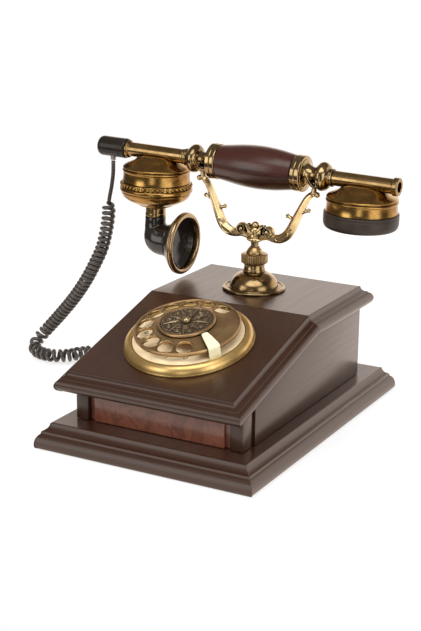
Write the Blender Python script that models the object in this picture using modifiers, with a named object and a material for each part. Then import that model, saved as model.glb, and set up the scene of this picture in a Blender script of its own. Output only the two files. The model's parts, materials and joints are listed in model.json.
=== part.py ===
"""Rotary desk telephone in antique style: a moulded wooden case with a sloping dial, a sprung fork
cradle and a turned brass and wood handset on a curly cord. Metres, +Z up, +X along the front face,
+Y to the back. The origin is on the resting plane, under the middle of the plinth."""

import math

import bmesh
import bpy
import numpy as np
from mathutils import Vector

# Fits and overruns
GAP = 0.0003
OVERRUN = 0.002
MERGE = 0.00001
ROUND_SIDES = 20
SMALL_SIDES = 14

# Plinth
PLINTH_WIDTH = 0.168
PLINTH_DEPTH = 0.243
PLINTH_HEIGHT = 0.0182
PLINTH_MOULDING = 0.0091
# (inset from the widest outline as a share of the moulding, height as a share of the plinth)
PLINTH_PROFILE_SHARES = (
    (0.11, 0.0), (0.0, 0.19), (0.04, 0.36), (0.16, 0.50), (0.40, 0.63), (0.44, 0.68), (0.53, 0.70),
    (0.62, 0.83), (0.84, 0.90), (0.90, 0.94), (1.0, 1.0),
)
PLINTH_BOTTOM = 0.0003
FELT_THICKNESS = 0.0012
FELT_SIDE_MARGIN = 0.0320
FELT_END_MARGIN = 0.0395
FELT_WIDTH = PLINTH_WIDTH - 2 * FELT_SIDE_MARGIN
FELT_DEPTH = PLINTH_DEPTH - 2 * FELT_END_MARGIN
SCREW_RADIUS = 0.0016
SCREW_HEAD_RADIUS = 0.0034
SCREW_HEAD_HEIGHT = 0.0022
SCREW_RECESS = 0.0035
SCREW_LENGTH = 0.026

# Case walls, set in from the plinth's edges
CASE_SIDE_LEDGE = 0.0188
CASE_FRONT_LEDGE = 0.0247
CASE_REAR_LEDGE = 0.0325
CASE_HALF_WIDTH = PLINTH_WIDTH / 2 - CASE_SIDE_LEDGE
CASE_FRONT_Y = CASE_FRONT_LEDGE - PLINTH_DEPTH / 2
CASE_REAR_Y = PLINTH_DEPTH / 2 - CASE_REAR_LEDGE
WALL = 0.0065
POST_WIDTH = 0.0095
POST_DEPTH = 0.0122
GROOVE_FRONT = 0.0047
GROOVE_SIDE = 0.0036
GROOVE_DEPTH = 0.0025
PANEL_SETBACK = 0.0008

# Lid: a flat board behind a sloping board, mitred where they meet, sized by its flat top faces
LID_SIDE_INSET = 0.0024
LID_FRONT_OVERHANG = 0.0122
LID_REAR_OVERHANG = 0.0027
LID_FLAT_DEPTH = 0.0904
LID_TOP = 0.0861
LID_THICKNESS = 0.015
LID_MOULDING = 0.0086
SLOPE_ANGLE = math.radians(14.8)
LID_HALF_WIDTH = CASE_HALF_WIDTH - LID_SIDE_INSET
LID_REAR_Y = CASE_REAR_Y + LID_REAR_OVERHANG
LID_BREAK_Y = LID_REAR_Y - LID_FLAT_DEPTH
SLOPE_LENGTH = (LID_BREAK_Y - CASE_FRONT_Y + LID_FRONT_OVERHANG) / math.cos(SLOPE_ANGLE)
# (how far out as a share of the moulding, how far down as a share of the thickness)
LID_PROFILE_SHARES = (
    (0.0, 0.0), (0.10, 0.03), (0.15, 0.10), (0.36, 0.14), (0.48, 0.26), (0.57, 0.29), (0.60, 0.34),
    (0.84, 0.42), (0.97, 0.54), (1.0, 0.66), (0.96, 0.79), (0.81, 0.92), (0.52, 1.0),
)

# Dial, measured from the sloping board's face
DIAL_SIDES = 28
ELBOW_SIDES = 16
CASE_CAN_RADIUS = 0.0295
CAN_DEPTH = 0.026
CAN_FLANGE_RADIUS = 0.0389
CAN_FLANGE_TOP = 0.0023
CAN_BOSS_TOP = 0.0048
BEZEL_RADIUS = 0.0452
BEZEL_HEIGHT = 0.0072
# (share of the way from the bezel's inner to its outer radius, share of its height)
BEZEL_PROFILE_SHARES = (
    (0.05, 0.90), (0.22, 1.0), (0.45, 0.98), (0.68, 0.85), (0.86, 0.62), (0.97, 0.36), (1.0, 0.0),
)
NUMBER_PLATE_RADIUS = 0.0374
NUMBER_PLATE_THICKNESS = 0.0012
SHAFT_RADIUS = 0.0023
SHAFT_DEPTH = 0.020
SHAFT_FLANGE_RADIUS = 0.008
SHAFT_FLANGE_THICKNESS = 0.0018
WHEEL_RADIUS = 0.0370
WHEEL_RIM_WIDTH = 0.0018
WHEEL_RIM_LOW = 0.0106
WHEEL_RIM_HIGH = 0.0136
WHEEL_OUTER_TOP = 0.0127
WHEEL_CROWN_TOP = 0.0154
WHEEL_SHEET = 0.0015
HOLE_COUNT = 10
HOLE_RADIUS = 0.0060
HOLE_RIM_OVERLAP = 0.0001
HOLE_PITCH_RADIUS = WHEEL_RADIUS - WHEEL_RIM_WIDTH + HOLE_RIM_OVERLAP - HOLE_RADIUS
HOLE_FIRST = math.radians(62.6)
HOLE_STEP = math.radians(25.85)
DISC_RADIUS = 0.0201
DISC_HEIGHT = 0.0017
DISC_RIM = 0.0012
NUT_RADIUS = 0.0026
NUT_HEIGHT = 0.0024
STOP_ANGLE = math.radians(-33.0)
STOP_WIDTH = 0.0086
STOP_TIP_WIDTH = 0.0046
STOP_TIP_RADIUS = 0.0222
STOP_TIP_SHIFT = 0.0017
STOP_THICKNESS = 0.0012

# Cradle
CRADLE_X = -0.0015
CRADLE_REAR_MARGIN = 0.0467
CRADLE_Y = LID_REAR_Y - CRADLE_REAR_MARGIN
STEM_RADIUS = 0.0029
STEM_TOP = 0.1222
DOME_RADIUS = 0.0179
DOME_FLANGE_RADIUS = 0.0233
DOME_TOP = 0.0982
DOME_RIM_HEIGHT = 0.0018
# (share of the dome's radius, share of its rise)
DOME_PROFILE_SHARES = ((0.65, 0.86), (0.88, 0.51), (0.99, 0.16))
NECK_RADIUS = 0.0076
NECK_RING_RADIUS = 0.0082
NECK_RING_HEIGHT = 0.0031
NUT_SEAT = 0.1053
LOCK_NUT_RADIUS = 0.0097
LOCK_NUT_HEIGHT = 0.0076
LOCK_NUT_CHAMFER = 0.0011
LOCK_CONE_RADIUS = 0.0061
LOCK_CONE_HEIGHT = 0.0044
KNURL_COUNT = 20
KNURL_DEPTH = 0.0004
GUIDE_RADIUS = 0.0078
GUIDE_FLANGE_RADIUS = 0.012
GUIDE_FLANGE_HEIGHT = 0.004
PLUNGER_BOTTOM = 0.041
PLUNGER_HEAD_RADIUS = 0.0056
PLUNGER_HEAD_HEIGHT = 0.003
SPRING_WIRE = 0.0008
SPRING_RADIUS = 0.0042
SPRING_TURNS = 5

# Fork, in the leaning frame on top of the stem: along X, and up to the handset's axis
CRADLE_LEAN = math.radians(1.6)
HANDSET_AXIS = 0.0545
FORK_SPREAD = 0.0450
FORK_RISE = 0.0410
FORK_ROD = 0.0029
# (share of the spread, share of the rise, thickness as a share of the rod's radius)
FORK_ARM_SHARES = (
    (0.02, 0.15, 1.0), (0.16, 0.13, 1.10), (0.32, 0.10, 1.15), (0.46, 0.11, 1.15), (0.595, 0.21, 1.10),
    (0.67, 0.37, 1.05), (0.745, 0.57, 1.0), (0.82, 0.73, 0.92), (0.89, 0.90, 0.88), (0.985, 1.0, 0.85),
)
FORK_STUB_SHARES = ((0.70, 0.50, -1), (0.80, 0.66, 1))
STUB_LENGTH = 0.0058
STUB_RADIUS = 0.0013
STUB_BALL = 0.0018
SCROLL_REACH = 0.0106
SCROLL_HEIGHT = 0.0082
SCROLL_RADIUS = 0.0045
SCROLL_WIDTH = 0.0062
SCROLL_EYE = 0.0019
BOSS_RADIUS = 0.0060
BOSS_RIM = 0.0027
BOSS_HEIGHT = 0.0110
BOSS_WAIST = 0.0036
CROWN_BEAD = 0.0027
TINE_RADIUS = 0.0016
TINE_REACH = 0.0155
TINE_RISE = 0.0110
TINE_CURVE = 1.8
TINE_TIP_SHARE = 0.85
TINE_SHARES = (-1.0, -0.72, -0.4, 0.0, 0.4, 0.72, 1.0)
KNOB_RADIUS = 0.0022
KNOB_REACH = 0.0032

# Handset: distances along its axis from the middle of the grip, then radii
GRIP_HALF = 0.0298
GRIP_RADIUS = 0.0157
GRIP_END_RADIUS = 0.0126
GRIP_SWELL = 0.9
GRIP_SHARES = (0.85, 0.65, 0.4, 0.15, -0.15, -0.4, -0.65, -0.85)
FERRULE_RADIUS = 0.0130
FERRULE_END = 0.0376
NECK_AT = 0.0452
NECK_HALF = 0.0013
HANDSET_NECK_RADIUS = 0.0058
BULGE_AT = 0.0512
BULGE_RADIUS = 0.0104
BULGE_END = 0.0570
# (share of the step from neck to ferrule, share of the way from ferrule to neck)
WAIST_PROFILE_SHARES = ((0.25, 0.5), (0.75, 0.0))
# (share of the swell from neck to bulge, share of the way from the bulge's middle to its outer end)
BULGE_PROFILE_SHARES = ((0.5, 1.0), (1.0, 0.35), (1.0, -0.25), (0.55, -0.57))
KNUCKLE_RING_RADIUS = 0.0064
KNUCKLE_END = 0.0595
TUBE_RADIUS = 0.00535
TUBE_RIGHT_END = 0.1047
TUBE_RIM_END = 0.1088
TUBE_RIM_RADIUS = 0.0064
TUBE_MOUTH_RADIUS = 0.0038
TUBE_MOUTH_DEPTH = 0.0064
TUBE_LEFT_END = 0.1070
LIP_END = 0.1098
LIP_RADIUS = 0.0067
CAP_END = 0.1342
CAP_RADIUS = 0.0075
CAP_ROUND = 0.0036
# (how far in, how far back, both as shares of the rounding)
CAP_ROUND_SHARES = ((1.0, 0.0), (0.3, 0.3), (0.0, 1.0))
GLAND_AT = 0.1229
GLAND_RADIUS = 0.0021
GLAND_LENGTH = 0.0023
GLAND_TAPER = 0.8

# Transmitter under the left tube, receiver under the right tube: depths below the handset's axis
TRANSMITTER_AT = 0.0845
RECEIVER_AT = 0.0820
CUP_RADIUS = 0.0256
CUP_SHOULDER = 0.0118
CUP_CROWN = 0.0020
CUP_CROWN_RADIUS = CUP_RADIUS - 0.0126
CUP_SHELL = 0.0016
CUP_BOTTOM = 0.0212
# (share of the way out from crown to wall, share of the drop from crown to shoulder)
CUP_PROFILE_SHARES = ((0.45, 0.28), (0.80, 0.62))
RING_OVERHANG = 0.0017
RING_RADIUS = CUP_RADIUS + RING_OVERHANG
RING_HEIGHT = 0.0074
RING_EASE = 0.0012
BOWL_BOTTOM = 0.0388
# (share of the way in from edge to end, share of the drop)
BOWL_PROFILE_SHARES = ((0.25, 0.45), (0.60, 0.80))
COLLAR_RADIUS = 0.00775
BOWL_END_RADIUS = COLLAR_RADIUS + 0.00535
COLLAR_TOP = 0.0412
COLLAR_BOTTOM = 0.0480
CAPSULE_RADIUS = CUP_RADIUS - 0.0066
CAPSULE_THICKNESS = 0.0050
ELBOW_RADIUS = 0.0078
ELBOW_END_RADIUS = 0.0120
ELBOW_DROP = 0.0658
ELBOW_CORNER = 0.0009
ELBOW_REACH = 0.0125
# (share of the quarter turn, share of the way from the first outer reach to the last)
ELBOW_TURN_SHARES = (
    (0.0, 0.0), (0.22, 0.13), (0.39, 0.46), (0.53, 0.73), (0.67, 0.91), (0.83, 1.0), (1.0, 1.0))
HORN_LENGTH = 0.0098
HORN_RADIUS = 0.0222
HORN_WALL = 0.0016
HORN_THROAT_RADIUS = 0.0050
HORN_RIM_RADIUS = 0.0234
HORN_RIM_INNER = 0.0192
HORN_RIM_THICKNESS = 0.0045
# (share of the horn's length, share of the way from throat to mouth radius)
HORN_SHARES = ((0.0, 0.0), (0.16, 0.12), (0.38, 0.36), (0.62, 0.64), (0.82, 0.86), (1.0, 1.0))
EAR_CAP_OVERHANG = 0.00105
EAR_CAP_RADIUS = CUP_RADIUS + EAR_CAP_OVERHANG
EAR_CAP_TOP = 0.0209
EAR_CAP_BOTTOM = 0.0325
EAR_CAP_FACE_RADIUS = EAR_CAP_RADIUS - 0.00515
EAR_CAP_DISH = 0.0035
# (share of the radius, share of the height down)
EAR_CAP_PROFILE_SHARES = ((1.0, 0.6), (0.95, 0.9))

# Inside the case
BOARD_HALF_WIDTH = 0.030
BOARD_HALF_DEPTH = 0.018
BOARD_THICKNESS = 0.0016
SWITCH_X = 0.0125
SWITCH_WIDTH = 0.0090
SWITCH_HALF_DEPTH = 0.0050
LEVER_PIVOT_X = 0.0170
LEVER_TAIL = 0.0008
LEVER_HALF_WIDTH = 0.0020
LEVER_THICKNESS = 0.0008
LEVER_CLEARANCE = 0.0004
GONG_RADIUS = 0.0150
GONG_HEIGHT = 0.0095
GONG_WALL = 0.0012
# (share of the radius, share of the height down)
GONG_PROFILE_SHARES = ((0.55, 0.0), (0.85, 0.3))
GONG_POST_RADIUS = 0.0028
GONG_POST_HEIGHT = 0.0140
GONG_SPREAD = 0.0200
GONG_Y = CASE_FRONT_Y + 0.0278
COIL_HALF_WIDTH = 0.0110
COIL_DEPTH = 0.0110
COIL_HEIGHT = 0.0120
COIL_Y = CASE_FRONT_Y + 0.0628
CLAPPER_ROD = 0.0008
CLAPPER_BALL = 0.0024
CLAPPER_BALL_Y = CASE_FRONT_Y + 0.0328
JACK_X = 0.0300
JACK_WIDTH = 0.0160
JACK_HEIGHT = 0.0130
JACK_DEPTH = 0.0150
JACK_PROUD = 0.0008
JACK_MOUTH_WIDTH = 0.0116
JACK_MOUTH_HEIGHT = 0.0068
JACK_MOUTH_DEPTH = 0.0110
JACK_RISE = 0.0060
SOCKET_Y = CASE_REAR_Y - 0.0110
SOCKET_Z = 0.0345
SOCKET_RADIUS = 0.0048
SOCKET_PROUD = 0.0040
SOCKET_SHANK_RADIUS = 0.0032

# Handset cord
CORD_DIAMETER = 0.0031
CURL_RADIUS = 0.0043
HUNG_PITCH = 0.0044
LAID_PITCH = 0.0040
CURL_GAP = 0.0009
TIGHTEST_BEND = 0.0100
BEND_WINDOW = 25
POINTS_PER_CURL = 8
CURL_LEAD = 0.0030
CURLS_FROM = 0.0330
CURLS_BEFORE_END = 0.0980
# The route, from the gland under the handset's end cap to the socket in the left wall, with its
# depths measured from the case's rear
CORD_ROUTE = (
    (-0.1231, -0.0440, 0.1693), (-0.1234, -0.0440, 0.1590), (-0.1250, -0.0440, 0.1485),
    (-0.1272, -0.0440, 0.1382), (-0.1279, -0.0440, 0.1264), (-0.1303, -0.0440, 0.1129),
    (-0.1345, -0.0438, 0.0992), (-0.1423, -0.0430, 0.0845), (-0.1523, -0.0412, 0.0691),
    (-0.1655, -0.0380, 0.0528), (-0.1818, -0.0345, 0.0354), (-0.1900, -0.0335, 0.0269),
    (-0.1975, -0.0342, 0.0185), (-0.2015, -0.0373, 0.0128), (-0.2013, -0.0423, 0.0091),
    (-0.1975, -0.0470, 0.0072), (-0.1918, -0.0500, 0.0065), (-0.1853, -0.0514, 0.0064),
    (-0.1793, -0.0514, 0.0064), (-0.1737, -0.0496, 0.0064), (-0.1692, -0.0463, 0.0064),
    (-0.1651, -0.0409, 0.0064), (-0.1622, -0.0344, 0.0064), (-0.1548, -0.0258, 0.0064),
    (-0.1480, -0.0190, 0.0064), (-0.1395, -0.0145, 0.0064), (-0.1305, -0.0120, 0.0064),
    (-0.1210, -0.0108, 0.0070), (-0.1110, -0.0108, 0.0110), (-0.1015, -0.0110, 0.0180),
    (-0.0925, -0.0110, 0.0255), (-0.0825, -0.0110, 0.0322), (-0.0750, -0.0110, 0.0345),
    (-0.0695, -0.0110, 0.0345),
)

PARTS = None
CUTTERS = None
MATERIALS = {}


def make_collection(name):
    collection = bpy.data.collections.new(name)
    bpy.context.scene.collection.children.link(collection)
    return collection


def finish(name, colour, roughness, metallic):
    """A plain material, kept under its name."""
    made = bpy.data.materials.new(name)
    made.use_nodes = True
    shader = made.node_tree.nodes["Principled BSDF"]
    shader.inputs["Base Color"].default_value = (*colour, 1.0)
    shader.inputs["Roughness"].default_value = roughness
    shader.inputs["Metallic"].default_value = metallic
    made.diffuse_color = (*colour, 1.0)
    MATERIALS[name] = made


def make_finishes():
    finish("espresso_wood", (0.075, 0.035, 0.022), 0.35, 0.0)
    finish("burl_wood", (0.16, 0.045, 0.022), 0.3, 0.0)
    finish("grip_wood", (0.09, 0.02, 0.012), 0.2, 0.0)
    finish("antique_brass", (0.42, 0.27, 0.10), 0.28, 1.0)
    finish("dark_brass", (0.12, 0.09, 0.05), 0.4, 1.0)
    finish("black_gloss", (0.01, 0.01, 0.01), 0.12, 0.0)
    finish("black_satin", (0.02, 0.02, 0.02), 0.45, 0.0)
    finish("number_cream", (0.80, 0.62, 0.42), 0.4, 0.0)
    finish("ivory", (0.85, 0.80, 0.58), 0.35, 0.0)
    finish("steel", (0.5, 0.5, 0.5), 0.35, 1.0)
    finish("felt", (0.03, 0.05, 0.03), 0.95, 0.0)
    finish("board_green", (0.02, 0.15, 0.06), 0.5, 0.0)
    finish("copper", (0.6, 0.25, 0.12), 0.35, 1.0)


def add_object(name, mesh, look=None, parent=None, at=(0, 0, 0), turn=(0, 0, 0), cutter=False):
    made = bpy.data.objects.new(name, mesh)
    made.parent = parent
    made.location = at
    made.rotation_euler = turn
    if cutter:
        made.hide_render = True
        made.display_type = "WIRE"
        CUTTERS.objects.link(made)
        return made
    mesh.materials.append(MATERIALS[look])
    mesh.shade_smooth()
    mesh.set_sharp_from_angle(angle=math.radians(35))
    PARTS.objects.link(made)
    return made


def add_frame(name, at, turn=(0, 0, 0), parent=None):
    """An empty that carries a group of parts."""
    made = bpy.data.objects.new(name, None)
    made.location = at
    made.rotation_euler = turn
    made.parent = parent
    PARTS.objects.link(made)
    return made


def mesh_from(name, bm):
    bmesh.ops.recalc_face_normals(bm, faces=bm.faces)
    mesh = bpy.data.meshes.new(name)
    bm.to_mesh(mesh)
    bm.free()
    return mesh


def turned(
        name, profile, steps=ROUND_SIDES, look=None, parent=None, at=(0, 0, 0), turn=(0, 0, 0),
        cutter=False):
    """A shape turned about its Z axis. The (radius, height) profile runs down the outer side; one
    that doesn't start on the axis is closed into a ring."""
    mesh = bpy.data.meshes.new(name)
    points = [(radius, 0, height) for radius, height in profile]
    edges = [(i, i + 1) for i in range(len(points) - 1)]
    if profile[0][0] > 0:
        edges.append((len(points) - 1, 0))
    mesh.from_pydata(points, edges, [])
    made = add_object(name, mesh, look, parent, at, turn, cutter)
    screw = made.modifiers.new("Screw", "SCREW")
    screw.axis = "Z"
    screw.angle = math.tau
    screw.steps = steps
    screw.render_steps = steps
    screw.use_smooth_shade = True
    screw.use_merge_vertices = True
    screw.merge_threshold = MERGE
    return made


def block(name, low, high, look=None, parent=None, cutter=False):
    """A box between two corners."""
    bm = bmesh.new()
    bmesh.ops.create_cube(bm, size=1)
    low, high = Vector(low), Vector(high)
    bmesh.ops.scale(bm, vec=high - low, verts=bm.verts)
    bmesh.ops.translate(bm, vec=(low + high) / 2, verts=bm.verts)
    return add_object(name, mesh_from(name, bm), look, parent, cutter=cutter)


def loft_mesh(name, rings, looped=False):
    """A skin over rings of equal counts, closed with an end face at each end, or back to its start."""
    bm = bmesh.new()
    rows = [[bm.verts.new(point) for point in ring] for ring in rings]
    pairs = list(zip(rows, rows[1:] + rows[:1] if looped else rows[1:]))
    for low, high in pairs:
        for i in range(len(low)):
            j = (i + 1) % len(low)
            bm.faces.new((low[i], low[j], high[j], high[i]))
    if not looped:
        bm.faces.new(rows[0])
        bm.faces.new(rows[-1])
    return mesh_from(name, bm)


def transported(points):
    """Unit tangents and side vectors along a line of points, with no twist."""
    points = [Vector(point) for point in points]
    last = len(points) - 1
    tangents = [
        (points[min(i + 1, last)] - points[max(i - 1, 0)]).normalized() for i in range(last + 1)
    ]
    side = tangents[0].orthogonal().normalized()
    sides = []
    for tangent in tangents:
        side = (side - tangent * side.dot(tangent)).normalized()
        sides.append(side.copy())
    return points, tangents, sides


def tube_mesh(name, points, radii, sides=8):
    """A round rod through points, with a radius at each."""
    points, tangents, across = transported(points)
    rings = []
    for point, tangent, side, radius in zip(points, tangents, across, radii):
        other = tangent.cross(side)
        turns = [math.tau * (i + 0.5) / sides for i in range(sides)]
        rings.append([point + radius * (math.cos(t) * side + math.sin(t) * other) for t in turns])
    return loft_mesh(name, rings)


def cylinder(name, radius, low, high, sides=SMALL_SIDES, parent=None, at=(0, 0, 0), turn=(0, 0, 0)):
    """A helper: a closed cylinder along Z between two heights."""
    bm = bmesh.new()
    bmesh.ops.create_cone(bm, cap_ends=True, segments=sides, radius1=radius, radius2=radius, depth=high - low)
    bmesh.ops.translate(bm, vec=(0, 0, (low + high) / 2), verts=bm.verts)
    return add_object(name, mesh_from(name, bm), None, parent, at, turn, cutter=True)


def ball(name, radius, at, parent, levels=1):
    bm = bmesh.new()
    bmesh.ops.create_icosphere(bm, subdivisions=levels, radius=radius)
    return add_object(name, mesh_from(name, bm), parent=parent, at=at, cutter=True)


def combine(target, helper, operation):
    made = target.modifiers.new(helper.name, "BOOLEAN")
    made.operation = operation
    made.object = helper
    made.solver = "EXACT"


def cut(target, *helpers):
    for helper in helpers:
        combine(target, helper, "DIFFERENCE")


def join(target, *helpers):
    for helper in helpers:
        combine(target, helper, "UNION")


def underside(y):
    """Height of the lid's underside at a depth."""
    flat = LID_TOP - LID_THICKNESS
    slope = LID_TOP + (y - LID_BREAK_Y) * math.tan(SLOPE_ANGLE) - LID_THICKNESS / math.cos(SLOPE_ANGLE)
    return min(flat, slope)


def underside_break():
    rise = LID_THICKNESS / math.cos(SLOPE_ANGLE) - LID_THICKNESS
    return LID_BREAK_Y + rise / math.tan(SLOPE_ANGLE)


def standing(name, outline, look):
    """A wall of the case: a plan outline standing on the plinth and reaching to the lid's underside."""
    bm = bmesh.new()
    floor = PLINTH_HEIGHT + GAP
    corners = [bm.verts.new((x, y, floor)) for x, y in outline]
    face = bm.faces.new(corners)
    made = bmesh.ops.extrude_face_region(bm, geom=[face])
    tops = [item for item in made["geom"] if isinstance(item, bmesh.types.BMVert)]
    bmesh.ops.translate(bm, vec=(0, 0, LID_TOP - floor), verts=tops)
    everything = list(bm.verts) + list(bm.edges) + list(bm.faces)
    bmesh.ops.bisect_plane(bm, geom=everything, plane_co=(0, underside_break(), 0), plane_no=(0, 1, 0))
    for vert in bm.verts:
        if vert.co.z > floor + GAP:
            vert.co.z = underside(vert.co.y) - GAP
    return add_object(name, mesh_from(name, bm), look)


def make_plinth():
    half_width, half_depth = PLINTH_WIDTH / 2, PLINTH_DEPTH / 2
    rings = []
    for inset_share, height_share in PLINTH_PROFILE_SHARES:
        x = half_width - PLINTH_MOULDING * inset_share
        y = half_depth - PLINTH_MOULDING * inset_share
        z = PLINTH_BOTTOM + (PLINTH_HEIGHT - PLINTH_BOTTOM) * height_share
        rings.append([(-x, -y, z), (x, -y, z), (x, y, z), (-x, y, z)])
    plinth = add_object("plinth", loft_mesh("plinth", rings), "espresso_wood")
    cut(plinth, block(
        "felt_recess", (-FELT_WIDTH / 2 - GAP, -FELT_DEPTH / 2 - GAP, -OVERRUN),
        (FELT_WIDTH / 2 + GAP, FELT_DEPTH / 2 + GAP, FELT_THICKNESS + GAP), cutter=True))
    block(
        "base_felt", (-FELT_WIDTH / 2, -FELT_DEPTH / 2, 0),
        (FELT_WIDTH / 2, FELT_DEPTH / 2, FELT_THICKNESS), "felt")
    for i, (x, y) in enumerate(screw_places(), 1):
        profile = (
            (0, PLINTH_HEIGHT + OVERRUN), (SCREW_RADIUS + GAP, PLINTH_HEIGHT + OVERRUN),
            (SCREW_RADIUS + GAP, SCREW_RECESS), (SCREW_HEAD_RADIUS + GAP, SCREW_RECESS),
            (SCREW_HEAD_RADIUS + GAP, -OVERRUN), (0, -OVERRUN),
        )
        cut(plinth, turned(f"screw_recess_{i}", profile, 12, at=(x, y, 0), cutter=True))
        make_screw(i, x, y)


def screw_places():
    """Under the two front posts and the rear ends of the side walls."""
    front_x = CASE_HALF_WIDTH - PANEL_SETBACK - POST_WIDTH / 2
    front_y = CASE_FRONT_Y + POST_DEPTH / 2
    rear_x = CASE_HALF_WIDTH - WALL / 2
    rear_y = CASE_REAR_Y - WALL - POST_DEPTH
    return ((-front_x, front_y), (front_x, front_y), (rear_x, rear_y), (-rear_x, rear_y))


def make_screw(number, x, y):
    head_top = SCREW_RECESS - GAP
    profile = (
        (0, SCREW_LENGTH), (SCREW_RADIUS, SCREW_LENGTH), (SCREW_RADIUS, head_top),
        (SCREW_HEAD_RADIUS, head_top), (SCREW_HEAD_RADIUS, head_top - SCREW_HEAD_HEIGHT / 2),
        (SCREW_RADIUS, head_top - SCREW_HEAD_HEIGHT), (0, head_top - SCREW_HEAD_HEIGHT),
    )
    turned(f"case_screw_{number}", profile, 12, "steel", at=(x, y, 0))


def screw_hole(number, x, y):
    top = SCREW_LENGTH + GAP
    return cylinder(f"screw_hole_{number}", SCREW_RADIUS + GAP, 0, top, sides=12, at=(x, y, 0))


def make_walls():
    outer, front, rear = CASE_HALF_WIDTH, CASE_FRONT_Y, CASE_REAR_Y
    post_outer = outer - PANEL_SETBACK
    post_inner = post_outer - POST_WIDTH
    post_back = front + POST_DEPTH
    face = post_inner - GROOVE_FRONT
    front_face = front + PANEL_SETBACK
    holes = [screw_hole(i, x, y) for i, (x, y) in enumerate(screw_places(), 1)]
    for side, label, hole in ((-1, "left", holes[0]), (1, "right", holes[1])):
        outline = [(side * x, y) for x, y in (
            (post_inner, front), (post_outer, front), (post_outer, post_back), (post_inner, post_back))]
        cut(standing(f"front_post_{label}", outline, "espresso_wood"), hole)
    tongue = post_inner - GAP
    step = front_face + GROOVE_DEPTH
    back = front_face + WALL
    standing("front_panel", [
        (-face, front_face), (face, front_face), (face, step), (tongue, step),
        (tongue, back), (-tongue, back), (-tongue, step), (-face, step),
    ], "burl_wood")
    side_front = post_back + GAP
    side_face = post_back + GROOVE_SIDE
    groove = outer - GROOVE_DEPTH
    for side, label, hole in ((-1, "left", holes[3]), (1, "right", holes[2])):
        outline = [(side * x, y) for x, y in (
            (outer - WALL, side_front), (groove, side_front), (groove, side_face),
            (outer, side_face), (outer, rear), (outer - WALL, rear))]
        wall = standing(f"side_panel_{label}", outline, "espresso_wood")
        cut(wall, hole)
        if side < 0:
            cut(wall, make_cord_socket())
    inner = outer - WALL - GAP
    back_wall = standing("back_panel", [
        (-inner, rear - WALL), (inner, rear - WALL), (inner, rear), (-inner, rear)], "espresso_wood")
    cut(back_wall, make_line_jack())


def make_lid():
    slope_up = Vector((0, math.cos(SLOPE_ANGLE), math.sin(SLOPE_ANGLE)))
    normal = Vector((0, -math.sin(SLOPE_ANGLE), math.cos(SLOPE_ANGLE)))
    mitre = Vector((0, -math.tan(SLOPE_ANGLE / 2), 1))
    top_break = Vector((0, LID_BREAK_Y, LID_TOP))
    top_front = top_break - slope_up * SLOPE_LENGTH
    slope_rings, flat_rings = [], []
    for out_share, down_share in LID_PROFILE_SHARES:
        out, down = LID_MOULDING * out_share, LID_THICKNESS * down_share
        across = Vector((LID_HALF_WIDTH + out, 0, 0))
        front = top_front - slope_up * out - normal * down
        middle = top_break - mitre * down
        low = middle - slope_up * GAP / 2
        high = middle + Vector((0, GAP / 2, 0))
        rear = Vector((0, LID_REAR_Y + out, LID_TOP - down))
        slope_rings.append([front - across, front + across, low + across, low - across])
        flat_rings.append([high - across, high + across, rear + across, rear - across])
    slope = add_object("lid_slope", loft_mesh("lid_slope", slope_rings), "espresso_wood")
    flat = add_object("lid_flat", loft_mesh("lid_flat", flat_rings), "espresso_wood")
    middle = top_break - slope_up * SLOPE_LENGTH / 2
    dial = add_frame("dial_frame", middle, (SLOPE_ANGLE, 0, 0))
    opening = cylinder(
        "dial_opening", CASE_CAN_RADIUS + GAP, -LID_THICKNESS - OVERRUN, OVERRUN, DIAL_SIDES, parent=dial)
    cut(slope, opening)
    guide_hole = cylinder(
        "guide_hole", GUIDE_RADIUS + GAP, LID_TOP - LID_THICKNESS - OVERRUN, LID_TOP + OVERRUN, SMALL_SIDES,
        at=(CRADLE_X, CRADLE_Y, 0))
    cut(flat, guide_hole)
    return dial


def make_dial_mount(dial):
    """What stays still: the mechanism's can, the bezel, the number plate and the finger stop."""
    bore = SHAFT_RADIUS + GAP
    turned("dial_case", (
        (bore, CAN_BOSS_TOP), (CASE_CAN_RADIUS, CAN_BOSS_TOP), (CASE_CAN_RADIUS, CAN_FLANGE_TOP),
        (CAN_FLANGE_RADIUS, CAN_FLANGE_TOP), (CAN_FLANGE_RADIUS, GAP), (CASE_CAN_RADIUS, GAP),
        (CASE_CAN_RADIUS, -CAN_DEPTH), (bore, -CAN_DEPTH),
    ), DIAL_SIDES, "steel", dial)
    inner = CAN_FLANGE_RADIUS + GAP
    width, height = BEZEL_RADIUS - inner, BEZEL_HEIGHT - GAP
    profile = [(inner + width * across, GAP + height * up) for across, up in BEZEL_PROFILE_SHARES]
    turned("dial_bezel", profile + [(inner, GAP)], DIAL_SIDES, "antique_brass", dial)
    low = CAN_BOSS_TOP + GAP
    high = low + NUMBER_PLATE_THICKNESS
    turned("number_plate", (
        (SHAFT_RADIUS + GAP, high), (NUMBER_PLATE_RADIUS, high), (NUMBER_PLATE_RADIUS, low),
        (SHAFT_RADIUS + GAP, low),
    ), DIAL_SIDES, "number_cream", dial)
    make_finger_stop(dial)


def wheel_top(radius):
    """Height of the finger wheel's face, which falls from the centre disc to the rim."""
    rim = WHEEL_RADIUS - WHEEL_RIM_WIDTH
    share = (radius - DISC_RADIUS) / (rim - DISC_RADIUS)
    return WHEEL_CROWN_TOP + (WHEEL_OUTER_TOP - WHEEL_CROWN_TOP) * max(0.0, share)


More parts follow.
